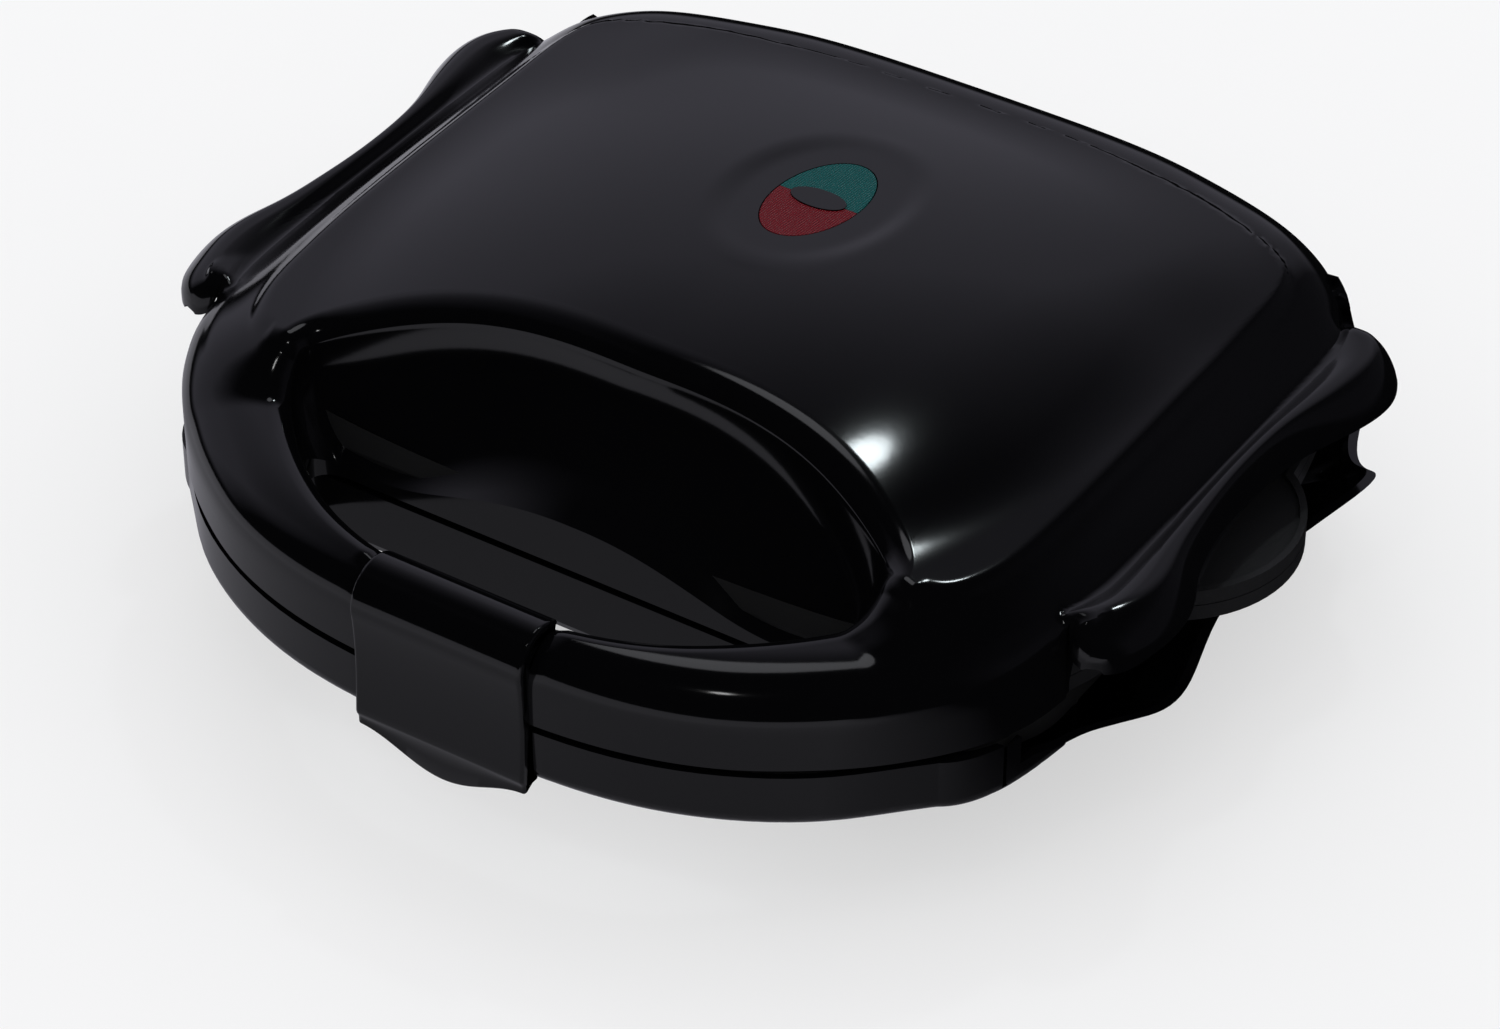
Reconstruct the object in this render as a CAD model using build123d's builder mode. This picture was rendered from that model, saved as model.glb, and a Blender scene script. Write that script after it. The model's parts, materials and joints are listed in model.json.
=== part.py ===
from build123d import *
import os
from math import cos, radians, sin

os.makedirs("parts", exist_ok=True)

# Overall size
overall_width = 277.0          # over the side lobes and the plate lugs
overall_depth = 250.0          # from the latch to the rear wall of the lid
seam_height = 45.0             # parting plane between lid and base
crown_height = 48.4            # top of the dome above the seam
half_width = overall_width / 2
front = -overall_depth / 2
back = overall_depth / 2
crown_z = seam_height + crown_height

# Walls and clearances
wall = 2.5                     # moulded shells and frames
sheet = 0.7                    # pressed metal
seam_half_gap = 1.0            # half the dark line between the two handle halves
fit_gap = 0.3                  # between pieces that are laid in place
running_gap = 0.05             # radial, pin to moving bore
seat_gap = 0.02                # radial, fixed pin to its bore

# Bow handle
bow_front = front + 2.8
bow_upper_height = 22.5        # handle half on the lid, above the seam
bow_lower_height = 16.0        # handle half on the base, below the seam
bow_round = 5.0
bow_lower_round = 4.0
notch_y = front + 78.0         # rear end of the handle block, where the side gap begins
notch_inset = 19.0             # side of the handle block from the overall side

# Finger opening
grip_front = front + 16.0      # inner edge of the bow on the centre line
grip_back = front + 54.0       # straight front wall of the body
throat_side = half_width - 62.0
throat_bend = grip_back - 6.0
scoop_side = half_width - 57.5
scoop_bend = grip_back + 1.0
grip_corner = 5.0
scoop_low = seam_height + 7.0
scoop_depth = 30.0             # how far the scoop leans back at its top
scoop_top = 44.0               # height over which it leans back

# Dome, sections listed from the front to the back
# depth position, crown drop, crease inset and drop, shoulder inset and drop, foot inset
plate_centre_y = 21.5
dome_sections = [
    (front + 44.0, 25.5, 62.5, 26.2, 54.0, 26.8, 45.0),
    (front + 65.0, 3.6, 58.5, 14.8, 46.5, 17.0, 37.5),
    (front + 105.0, 0.6, 45.5, 14.7, 32.0, 17.0, 21.5),
    (plate_centre_y, 0.7, 43.2, 14.2, 28.5, 17.0, 19.0),
    (back - 65.0, 4.3, 47.0, 13.8, 28.5, 17.0, 20.0),
    (back - 40.0, 9.2, 54.0, 12.8, 32.0, 18.0, 23.0),
    (back - 26.4, 12.3, 59.5, 13.2, 38.0, 19.5, 28.0),
]
foot_drop = 27.4               # foot of the flank below the crown
dome_corner = 48.0             # rear corners in plan
rear_roll = 16.0

# Side skirts of the lid, distance of each lobe point from the side, front to back
skirt_low = 17.0               # lower edge above the seam
skirt_high = 25.0
skirt_low_points = [(16.0, front + 74.5), (2.0, front + 95.0), (9.5, 17.5), (1.5, back - 63.0),
                    (17.5, back - 33.0)]
skirt_high_points = [(19.0, front + 77.5), (10.0, front + 97.0), (13.0, 17.5), (10.0, back - 66.0),
                     (21.0, back - 37.0)]
skirt_root = 40.0

# Base shell, outlines at the rim and at the floor
rim_drop = 9.0                 # rim below the seam
floor_z = 8.0
rim_points = [(16.5, front + 75.0), (4.5, front + 95.0), (10.5, 12.0), (5.5, back - 48.0),
              (17.5, back - 31.0)]
floor_inset = 40.5
rim_back = back - 9.0
floor_back = back - 17.0
rim_front = front + 62.0
floor_front = front + 74.0
shell_corner = 26.0

rear_wall_half = half_width - 46.5
rear_wall_root = 6.0
rear_wall_rise = 6.0

# Plates
plate_half_width = half_width - 24.0
plate_front = front + 69.0
plate_back = back - 25.5
plate_corner = 22.0
plate_slab = 3.0
plate_lip = 1.0
plate_bulge = 12.0             # how far the rim swells at the sides
lug_half_length = 27.0
lug_inset = 0.3
parting_gap = 0.15             # half the gap between the plates
cell_inset = 4.0               # from the centre line to the first pocket cell
cell_width = half_width - 44.5
cell_front = front + 87.0
cell_back = back - 45.0
pocket_ridge = 3.0
pocket_depth = 9.0
pocket_wall = 2.4
pocket_draft = 18.0

# Plate clips
clip_x = 60.0
clip_tab = 6.5

# Inner frames
frame_half_width = half_width - 23.3
frame_front = grip_back + wall + 0.5
frame_back = back - 26.0
frame_corner = 26.0
frame_flange = wall
hole_half_width = frame_half_width - 11.7
hole_front = frame_front + 16.0
hole_back = frame_back - 7.0
hole_corner = 20.0
base_skirt_depth = 6.5
lid_skirt_depth = 15.5
plate_under = parting_gap + plate_slab + plate_lip + fit_gap

# Heaters and reflector pans
tube_radius = 3.25
pan_flange = 3.0
heater_inset = 26.0
heater_bend = 14.0
heater_end_gap = 16.0
heater_side = hole_half_width - heater_inset + 2
heater_near = hole_front + 22.0
heater_far = hole_back - 22.0
heater_end = frame_back + 1.5
terminal_radius = 1.3
terminal_length = 5.0

# Hinge
hinge_y = back - 13.0
hinge_z = seam_height + 7.0
hinge_radius = 8.0
hinge_pin_radius = 2.5
tower_inset = 67.5             # outer face of the tower from the overall side
tower_width = 14.0
ear_width = 9.0
ear_gap = 0.5

# Latch
latch_width = 47.0
latch_outer = 9.6              # radius of its wrap round the bow
latch_thick = 2.4
latch_pin_z = seam_height + 15.0
latch_pin_y = front + latch_outer
latch_pin_radius = 1.5
latch_ear = 3.0
latch_ear_x = 9.5
latch_ear_radius = 4.5
hook_reach = 4.0
hook_thick = 2.2
lip_drop = 9.0
wrap_start = 50.0              # angle where the wrap begins on the bow
latch_gap = 0.4                # latch to the bow all round
latch_core = latch_outer - latch_thick - latch_gap
recess_y = front + latch_thick + hook_reach + latch_gap

# Lamp window, in a plane that leans back with the dome
window_y = 35.0
window_a = 11.0                # half the width
window_b = 20.0                # half the length along the depth
window_drop = 3.3              # middle of the window below the crown
window_tilt = 5.0
window_cap_a = 7.5
window_cap_b = 4.2
dimple_a = 24.3
dimple_b = 37.0
dimple_slope = 6.0
lens_flange = 1.4
lens_height = 7.0
lens_seat = 2.9                # flange below the window's face
lens_gap = 0.1
lens_ledge = 1.6               # what is left of the lens under the cap

# Lamp holder, measured from the window's face and middle
holder_depth = 10.0
holder_ear_width = 12.0
holder_ear_thick = 2.5
holder_screw_y = window_b + lens_flange + 4.0
lamp_radius = 2.6
lamp_length = 2 * window_a + 4.0
lamp_offset = 9.0
lamp_drop = 12.0

# Thermostat and fuse on the upper pan
thermostat_x = 45.0
thermostat_y = -15.0
thermostat_radius = 8.0
thermostat_height = 7.0
thermostat_ear = 30.0
thermostat_screw_step = 12.0
tab_step = 4.0
tab_height = 6.0
tab_thick = 0.8
fuse_x = -45.0
fuse_y = -15.0
fuse_radius = 2.2
fuse_length = 14.0
strap_width = 6.0

# Terminal block, cord gland and leads
block_x = -45.0
block_width = 24.0
block_depth = 8.0
block_height = 10.0
block_y = back - 26.5
block_pitch = 7.5
gland_x = -45.0
gland_bore = 3.5
gland_neck = 5.5
gland_flange = 8.0
gland_reach = 11.0
gland_collar = 2.0
gland_z = floor_z + 14.0
lead_radius = 1.0
lead_bend = 1.6
lead_run_x = 60.0

# Screws
screw_radius = 1.25
screw_head_radius = 2.3
screw_head = 1.8
boss_radius = 2.8
frame_screw_x = frame_half_width - wall - fit_gap - boss_radius
frame_screw_ys = (front + 95.0, back - 56.0)
head_room = 0.2
lid_boss_radius = 4.0
lid_boss_rise = 1.5
bow_screw_x = half_width - 76.5
bow_screw_y = front + 24.5

frame_screw_pocket = 17.5      # depth of the screw pockets from the floor
bow_screw_pocket = 2.1

# Feet
foot_radius = 9.0
foot_stem = 3.0
foot_round = 1.0
foot_x = half_width - 58.5
foot_ys = (front + 97.0, back - 33.0)

# Levels shared by the two halves, given as distances from the seam
flange_near = plate_under
flange_far = plate_under + frame_flange
rebate_far = flange_near + frame_flange - 0.65
pocket_far = parting_gap + pocket_depth + pocket_wall
tube_level = pocket_far + fit_gap + tube_radius
pan_far = tube_level + tube_radius + 1.4
half_up = 1
half_down = -1


def level(side, distance):
    return seam_height + side * distance


# Front half of the handle block in plan, smaller all round by inset
def bow_outline(inset):
    near = notch_y - inset
    side = half_width - notch_inset - inset
    with BuildSketch() as outline:
        with BuildLine():
            Spline((0, bow_front + inset), (half_width - 80.5, front + 9.9 + inset),
                   (half_width - 50.5, front + 26.5 + inset), (half_width - 32.5 - inset, front + 44 + inset),
                   tangents=((1, 0), (0.72, 0.69)))
            Spline((half_width - 32.5 - inset, front + 44 + inset), (half_width - 25 - inset, front + 53),
                   (side, near), tangents=((0.84, 0.54), (0.14, 0.99)))
            Line((side, near), (0, near))
            Line((0, near), (0, bow_front + inset))
        make_face()
        mirror(about=Plane.YZ)
    return outline.sketch


# Inner edge of the bow up to a bend on each side, closed behind with round corners, larger all round by grow
def grip_outline(side, bend, rear, grow):
    x = side + grow
    y = grip_front - grow
    far = rear + grow
    with BuildSketch() as outline:
        with BuildLine():
            Spline((0, y), (half_width - 93.1, y + 7.5), (half_width - 71.7 + grow * 0.7, y + 23.5), (x, bend),
                   tangents=((1, 0), (0.6, 0.8)))
            Line((x, bend), (x, far - grip_corner))
            RadiusArc((x, far - grip_corner), (x - grip_corner, far), -grip_corner)
            Line((x - grip_corner, far), (0, far))
            Line((0, far), (0, y))
        make_face()
        mirror(about=Plane.YZ)
    return outline.sketch


# The finger opening as a solid to take away: a straight throat and the scoop that leans back above it
def grip_block(bottom, grow):
    throat = grip_outline(throat_side, throat_bend, grip_back, grow)
    above = grip_outline(scoop_side, scoop_bend, grip_back + scoop_depth + 10, grow)
    with BuildPart() as block:
        with BuildSketch(Plane.XY.offset(bottom)):
            add(throat)
        extrude(amount=scoop_low + 8 - bottom)
    with BuildPart() as scoop:
        with BuildSketch(Plane.XY.offset(scoop_low)):
            with BuildLine():
                Line((-half_width, grip_back + grow), (half_width, grip_back + grow))
                Line((half_width, grip_back + grow), (half_width, front - 10))
                Line((half_width, front - 10), (-half_width, front - 10))
                Line((-half_width, front - 10), (-half_width, grip_back + grow))
            make_face()
        with BuildSketch(Plane.XY.offset(scoop_low + scoop_top)):
            with BuildLine():
                ThreePointArc((-half_width, grip_back - 15 + grow), (0, grip_back + scoop_depth + grow),
                              (half_width, grip_back - 15 + grow))
                Line((half_width, grip_back - 15 + grow), (half_width, front - 10))
                Line((half_width, front - 10), (-half_width, front - 10))
                Line((-half_width, front - 10), (-half_width, grip_back - 15 + grow))
            make_face()
        loft(ruled=True)
        with BuildSketch(Plane.XY.offset(scoop_low)):
            add(above)
        extrude(amount=scoop_top, mode=Mode.INTERSECT)
    return block.part + scoop.part


# One cross-section of the dome, smaller all round by skin
def dome_section(entry, skin, low):
    y, crown_drop, crease_in, crease_drop, shoulder_in, shoulder_drop, foot_in = entry
    crown = crown_z - crown_drop - skin
    crease = (half_width - crease_in - skin / 4, crown_z - crease_drop - skin)
    shoulder = (half_width - shoulder_in - skin / 2, crown_z - shoulder_drop - skin)
    foot = (half_width - foot_in - skin, crown_z - foot_drop - skin / 4)
    with BuildSketch(Plane.XZ.offset(-y)) as section:
        with BuildLine():
            ThreePointArc((-crease[0], crease[1]), (0, crown), crease)
            Polyline(crease, shoulder, foot, (foot[0], low), (-foot[0], low), (-foot[0], foot[1]),
                     (-shoulder[0], shoulder[1]), (-crease[0], crease[1]))
        make_face()
    return section.sketch


def dome_block(skin, low):
    rear_y = back + 6
    last = dome_sections[-1]
    roll_top = crown_z - last[1] - skin
    roll_start = back - rear_roll - skin / 2
    sections = [dome_section(entry, skin, low) for entry in dome_sections]
    rear_sections = [dome_section(last, skin, low), dome_section((rear_y,) + last[1:], skin, low)]
    with BuildPart() as dome:
        add(loft(sections, mode=Mode.PRIVATE))
        add(loft(rear_sections, ruled=True, mode=Mode.PRIVATE))
        # The rear roll and the rear wall
        with BuildSketch(Plane.YZ):
            with BuildLine():
                ThreePointArc((roll_start, roll_top + 0.2),
                              (back - rear_roll * 0.3 - skin * 0.8, roll_top - rear_roll * 0.3),
                              (back - skin, roll_top - rear_roll))
                Line((back - skin, roll_top - rear_roll), (back - skin, low - 5))
                Line((back - skin, low - 5), (back + 20, low - 5))
                Line((back + 20, low - 5), (back + 20, crown_z))
                Line((back + 20, crown_z), (roll_start, crown_z))
                Line((roll_start, crown_z), (roll_start, roll_top + 0.2))
            make_face()
        extrude(amount=half_width, both=True, mode=Mode.SUBTRACT)
        # Sides and round rear corners in plan
        side = half_width - 18.5 - skin
        rear = back + 1 - skin
        bend_y = rear - dome_corner
        bend_x = side - dome_corner
        middle = dome_corner * cos(radians(45))
        with BuildSketch(Plane.XY.offset(low - 1)):
            with BuildLine():
                Polyline((-side, bend_y), (-side, front), (side, front), (side, bend_y))
                ThreePointArc((side, bend_y), (bend_x + middle, bend_y + middle), (bend_x, rear))
                Line((bend_x, rear), (-bend_x, rear))
                ThreePointArc((-bend_x, rear), (-bend_x - middle, bend_y + middle), (-side, bend_y))
            make_face()
        extrude(amount=crown_height + 10, mode=Mode.INTERSECT)
    return dome.part


# Wavy edge of one side, points are (inset from the side, depth position)
def wavy_side(points, inset):
    places = [(half_width - p[0] - inset, p[1]) for p in points]
    return places


def skirt_block(inset, low, high):
    with BuildPart() as skirt:
        for z, points in ((low, skirt_low_points), (high, skirt_high_points)):
            places = wavy_side(points, inset)
            with BuildSketch(Plane.XY.offset(z)):
                with BuildLine():
                    Spline(*places)
                    Polyline(places[-1], (half_width - skirt_root, places[-1][1]),
                             (half_width - skirt_root, places[0][1]), places[0])
                make_face()
        loft(ruled=True)
        mirror(about=Plane.YZ)
    return skirt.part


# Levels of the lid shell
lid_low = seam_height + seam_half_gap
base_high = seam_height - seam_half_gap
bow_top = seam_height + bow_upper_height
bow_low = seam_height - bow_lower_height
dome_low = seam_height + skirt_low - 1
rim_z = seam_height - rim_drop
latch_zone = latch_width / 2 + 0.7


# Upright post with a blind or through hole, given by its two ends
def post(x, y, low, high, radius):
    return Pos(x, y, (low + high) / 2) * Cylinder(radius, abs(high - low), mode=Mode.PRIVATE)


def both_sides(places):
    return [(s * x, y) for x, y in places for s in (-1, 1)]


frame_screws = both_sides([(frame_screw_x, y) for y in frame_screw_ys])
bow_screws = both_sides([(bow_screw_x, bow_screw_y)])


# Profile across the bow where the latch wraps it, seen along the width
def core_outline(grow):
    with BuildSketch() as core:
        with Locations((latch_pin_y, latch_pin_z)):
            Circle(latch_core + grow)
        with Locations((latch_pin_y, (latch_pin_z + lid_low) / 2)):
            Rectangle(2 * (latch_core + grow), latch_pin_z - lid_low)
    return core.sketch


# The part of the bow that the latch wraps, with room for the frame's strip below
core_face = core_outline(0)
with BuildPart() as latch_seat:
    with BuildSketch(Plane.YZ):
        add(core_face)
    extrude(amount=latch_zone, both=True)
    with BuildSketch(Plane.XY.offset(lid_low)):
        with Locations((0, latch_pin_y)):
            Rectangle(2 * latch_zone, 2 * latch_core - 2 * 1.8)
    extrude(amount=wall + fit_gap, mode=Mode.SUBTRACT)

# Slots for the ears of the latch and the bore of its pin
slot_radius = latch_ear_radius + 0.4
with BuildPart() as latch_slots:
    for s in (-1, 1):
        with BuildSketch(Plane.YZ.offset(s * latch_ear_x)):
            with Locations((latch_pin_y, latch_pin_z)):
                Circle(slot_radius)
            with Locations((latch_pin_y + slot_radius, latch_pin_z - slot_radius + 1)):
                Rectangle(30, 30, align=(Align.MAX, Align.MIN))
        extrude(amount=latch_ear / 2 + 0.35, both=True)
    with BuildSketch(Plane.YZ):
        with Locations((latch_pin_y, latch_pin_z)):
            Circle(latch_pin_radius + seat_gap)
    extrude(amount=latch_ear_x + 7, both=True)

bow_face = bow_outline(0)
bow_inside = bow_outline(wall)
with BuildPart() as lid_bow:
    with BuildSketch(Plane.XY.offset(lid_low)):
        add(bow_face)
    extrude(amount=bow_top - lid_low)
    top_edges = lid_bow.edges().group_by(Axis.Z)[-1]
    fillet(top_edges.filter_by_position(Axis.Y, front - 5, notch_y - 1), bow_round)

dome_inside = dome_block(wall, dome_low - 6)
skirt_inside = skirt_block(wall, seam_height + skirt_low - 1, seam_height + skirt_high - wall)
grip_wall = grip_block(lid_low - 6, wall)
with BuildPart() as lid_hollow:
    add(dome_inside)
    add(skirt_inside)
    with BuildSketch(Plane.XY.offset(lid_low - 5)):
        add(bow_inside)
    extrude(amount=bow_top - wall - lid_low + 5)
    with BuildSketch(Plane.XY.offset(lid_low - 5)):
        with Locations((0, (frame_front + back) / 2)):
            Rectangle(2 * frame_half_width + 2 * fit_gap, back - frame_front)
    extrude(amount=bow_top - wall - lid_low + 5)
    add(grip_wall, mode=Mode.SUBTRACT)

# Hinge ears hang from the inside of the dome
ear_outer = half_width - tower_inset - tower_width - ear_gap
dome_limit = dome_block(wall / 2, hinge_z - hinge_radius - 2)
with BuildPart() as lid_ears:
    for s in (-1, 1):
        with BuildSketch(Plane.YZ.offset(s * (ear_outer - ear_width / 2))):
            with Locations((hinge_y, hinge_z)):
                Circle(hinge_radius)
            with Locations((hinge_y, hinge_z)):
                Rectangle(2 * hinge_radius, crown_z - foot_drop + 8 - hinge_z, align=(Align.CENTER, Align.MIN))
        extrude(amount=ear_width / 2, both=True)
    add(dome_limit, mode=Mode.INTERSECT)

# Oval disc in the window's own frame
def oval(half_a, half_b, low, high):
    with BuildPart() as disc:
        with BuildSketch(Plane.XY.offset(low)):
            Ellipse(half_a, half_b)
        extrude(amount=high - low)
    return disc.part


window_place = Pos(0, window_y, crown_z - window_drop) * Rot(-window_tilt, 0, 0)
pad_low = -lens_seat - 0.2
pad_disc = oval(dimple_a, dimple_b, pad_low, pad_low + 1.8)
with BuildPart() as window_thick:
    add(pad_disc)
    for turn in (-1, 1):
        add(post(0, turn * holder_screw_y, -lens_height, pad_low + 1.0, boss_radius))
window_pad = window_place * window_thick.part

window_hole = oval(window_a + fit_gap, window_b + fit_gap, -12, 12)
flange_room = oval(window_a + lens_flange + lens_gap, window_b + lens_flange + lens_gap,
                   -lens_height, -lens_seat + seat_gap)
with BuildPart() as window_room:
    with BuildSketch(Plane.XY.offset(0.1)):
        Ellipse(dimple_a - dimple_slope, dimple_b - dimple_slope)
    with BuildSketch(Plane.XY.offset(2.1)):
        Ellipse(dimple_a + dimple_slope, dimple_b + dimple_slope)
    loft(ruled=True)
    add(window_hole)
    add(flange_room)
    for turn in (-1, 1):
        add(post(0, turn * holder_screw_y, -lens_height - 1, -lens_height + 3.5, screw_radius + seat_gap))
window_cut = window_place * window_room.part

dome_outside = dome_block(0, dome_low)
skirt_outside = skirt_block(0, seam_height + skirt_low, seam_height + skirt_high)
grip_opening = grip_block(lid_low - 7, 0)
with BuildPart() as lid_cover:
    add(dome_outside)
    add(skirt_outside)
    add(lid_bow.part)
    add(lid_hollow.part, mode=Mode.SUBTRACT)
    add(grip_opening, mode=Mode.SUBTRACT)
    # Latch zone of the bow
    with BuildSketch(Plane.YZ):
        with Locations((front - 10, lid_low - 1)):
            Rectangle(10 + grip_front - front + 6, 40, align=(Align.MIN, Align.MIN))
    extrude(amount=latch_zone, both=True, mode=Mode.SUBTRACT)
    add(latch_seat.part)
    add(latch_slots.part, mode=Mode.SUBTRACT)
    # Posts for the screws
    for x, y in frame_screws:
        add(post(x, y, level(half_up, flange_far + lid_boss_rise), crown_z - foot_drop + 4, boss_radius))
    for x, y in bow_screws:
        add(post(x, y, lid_low + wall + lid_boss_rise, bow_top - wall / 2, boss_radius))
    for x, y in frame_screws + bow_screws:
        add(post(x, y, lid_low, crown_z - foot_drop - 1, screw_radius + seat_gap), mode=Mode.SUBTRACT)
    # Hinge ears
    add(lid_ears.part)
    with BuildSketch(Plane.YZ):
        with Locations((hinge_y, hinge_z)):
            Circle(hinge_pin_radius + running_gap)
    extrude(amount=half_width - tower_inset, both=True, mode=Mode.SUBTRACT)
    # Dimple and lamp window
    add(window_pad)
    add(window_cut, mode=Mode.SUBTRACT)
lid_cover.part.label = "lid_cover"
export_step(lid_cover.part, "parts/lid_cover.step")


# Inner frame of one half: flange round the pan, outer skirt, and the strip that closes the bow
def inner_frame(side, skirt_depth, strip_level, clear):
    near = level(side, flange_near)
    far = level(side, flange_far)
    end = level(side, flange_near + skirt_depth)
    middle = (0, (frame_front + frame_back) / 2)
    depth = frame_back - frame_front
    strip = bow_outline(wall + fit_gap)
    with BuildPart() as frame:
        with BuildSketch(Plane.XY.offset(near)):
            with Locations(middle):
                RectangleRounded(2 * frame_half_width, depth, frame_corner)
        extrude(amount=end - near)
        with BuildSketch(Plane.XY.offset(far)):
            with Locations(middle):
                RectangleRounded(2 * (frame_half_width - wall), depth - 2 * wall, frame_corner - wall)
        extrude(amount=end - far, mode=Mode.SUBTRACT)
        # Bar that steps down to the bow strip
        with BuildSketch(Plane.XY.offset(strip_level)):
            with Locations((0, frame_front)):
                Rectangle(2 * (frame_half_width - 8), 4, align=(Align.CENTER, Align.MIN))
        extrude(amount=far - strip_level)
        with BuildSketch(Plane.XY.offset(strip_level)):
            add(strip)
            with Locations((0, frame_front + 4)):
                Rectangle(2 * half_width, 60, align=(Align.CENTER, Align.MIN), mode=Mode.SUBTRACT)
        extrude(amount=side * wall)
        # Hole for the pan with a rebate for its flange
        hole_y = (hole_front + hole_back) / 2
        with BuildSketch(Plane.XY.offset(near)):
            with Locations((0, hole_y)):
                RectangleRounded(2 * hole_half_width, hole_back - hole_front, hole_corner)
        extrude(amount=far - near, mode=Mode.SUBTRACT)
        with BuildSketch(Plane.XY.offset(near)):
            with Locations((0, hole_y)):
                RectangleRounded(2 * (hole_half_width + pan_flange), hole_back - hole_front + 2 * pan_flange,
                                 hole_corner + pan_flange)
        extrude(amount=side * (rebate_far - flange_near), mode=Mode.SUBTRACT)
        # Bosses and holes for the screws
        for x, y in frame_screws:
            if side == half_down:
                add(post(x, y, level(side, flange_near + 12), level(side, flange_near), boss_radius))
        for x, y in bow_screws:
            if side == half_down:
                add(post(x, y, strip_level - 11, strip_level, boss_radius))
        if side == half_up:
            for x, y in frame_screws:
                add(post(x, y, level(side, flange_far - 0.5), level(side, flange_far + lid_boss_rise),
                         lid_boss_radius))
            for x, y in bow_screws:
                add(post(x, y, strip_level, strip_level + wall + lid_boss_rise, lid_boss_radius))
        for x, y in frame_screws + bow_screws:
            add(post(x, y, level(side, 20), level(side, 0), screw_radius + seat_gap), mode=Mode.SUBTRACT)
        if side == half_up:
            for x, y in frame_screws:
                add(post(x, y, near, near + head_room + screw_head, screw_head_radius + head_room),
                    mode=Mode.SUBTRACT)
            for x, y in bow_screws:
                add(post(x, y, strip_level, strip_level + head_room + screw_head,
                         screw_head_radius + head_room), mode=Mode.SUBTRACT)
        # Slots where the heater ends leave at the back
        for s in (-1, 1):
            with BuildSketch(Plane.XZ.offset(-frame_back - 1)):
                with Locations((s * heater_end_gap, level(side, tube_level))):
                    Circle(tube_radius + fit_gap)
            extrude(amount=wall + 3, mode=Mode.SUBTRACT)
        add(clear, mode=Mode.SUBTRACT)
        if side == half_down:
            with BuildSketch(Plane.XY.offset(strip_level)):
                with Locations((0, recess_y + wall + fit_gap)):
                    Rectangle(2 * (latch_zone + wall + fit_gap), 30, align=(Align.CENTER, Align.MAX))
            extrude(amount=-wall, mode=Mode.SUBTRACT)
    return frame.part


grip_clear = grip_block(bow_low - 5, wall + fit_gap)
lid_inner_frame = inner_frame(half_up, lid_skirt_depth, lid_low, grip_clear)
lid_inner_frame.label = "lid_inner_frame"
export_step(lid_inner_frame, "parts/lid_inner_frame.step")

base_inner_frame = inner_frame(half_down, base_skirt_depth, base_high, grip_clear)
base_inner_frame.label = "base_inner_frame"
export_step(base_inner_frame, "parts/base_inner_frame.step")


# Outline of the base shell, right side from five points, round corners to the front and the rear line
def shell_outline(points, near, far, inset):
    places = [(half_width - p[0] - inset, p[1]) for p in points]
    near = near + inset
    far = far - inset
    x = places[0][0] - shell_corner * 0.6
    rear_x = places[-1][0] - shell_corner
    with BuildSketch() as outline:
        with BuildLine():
            Line((0, near), (x, near))
            Spline((x, near), places[0], tangents=((1, 0), (0.3, 0.95)))
            Spline(*places, tangents=((0.3, 0.95), (-0.3, 0.95)))
            Spline(places[-1], (rear_x, far), tangents=((-0.3, 0.95), (-1, 0)))
            Line((rear_x, far), (0, far))
            Line((0, far), (0, near))
        make_face()
    return outline.sketch


floor_points = [(floor_inset + 4, floor_front + 10), (floor_inset, front + 95.0), (floor_inset, 12.0),
                (floor_inset, back - 48.0), (floor_inset + 3, back - 31.0)]


def shell_block(inset, low, high):
    low_face = Plane.XY.offset(low) * shell_outline(floor_points, floor_front, floor_back, inset)
    high_face = Plane.XY.offset(high) * shell_outline(rim_points, rim_front, rim_back, inset)
    with BuildPart() as shell:
        add(loft([low_face, high_face], ruled=True, mode=Mode.PRIVATE))
        mirror(about=Plane.YZ)
    return shell.part


with BuildPart() as base_bow:
    with BuildSketch(Plane.XY.offset(bow_low)):
        add(bow_face)
    extrude(amount=base_high - bow_low)
    low_edges = base_bow.edges().group_by(Axis.Z)[0]
    fillet(low_edges.filter_by_position(Axis.Y, front - 5, notch_y - 1), bow_lower_round)

shell_inside = shell_block(wall, floor_z + wall, rim_z)
shell_outside = shell_block(0, floor_z, rim_z)
grip_low_wall = grip_block(bow_low - 2, wall)
grip_low_opening = grip_block(bow_low - 3, 0)
with BuildPart() as base_hollow:
    add(shell_inside)
    with BuildSketch(Plane.XY.offset(rim_z)):
        with Locations((0, (rim_front + rim_back) / 2)):
            Rectangle(2 * half_width, rim_back - rim_front)
    extrude(amount=20)
    with BuildSketch(Plane.XY.offset(bow_low + wall)):
        add(bow_inside)
    extrude(amount=30)
    with BuildSketch(Plane.XY.offset(bow_low + wall)):
        with Locations((0, frame_front)):
            Rectangle(2 * frame_half_width + 2 * fit_gap, back - frame_front, align=(Align.CENTER, Align.MIN))
    extrude(amount=30)
    add(grip_low_wall, mode=Mode.SUBTRACT)

# Thick piece of the bow with a recess that lets the latch's hook pass
with BuildPart() as latch_plug:
    with BuildSketch(Plane.XY.offset(bow_low)):
        with Locations((0, recess_y + wall)):
            Rectangle(2 * (latch_zone + wall), 30, align=(Align.CENTER, Align.MAX))
    extrude(amount=base_high - bow_low)
    add(base_bow.part, mode=Mode.INTERSECT)

tower_outer = half_width - tower_inset
tower_middle = tower_outer - tower_width / 2

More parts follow.
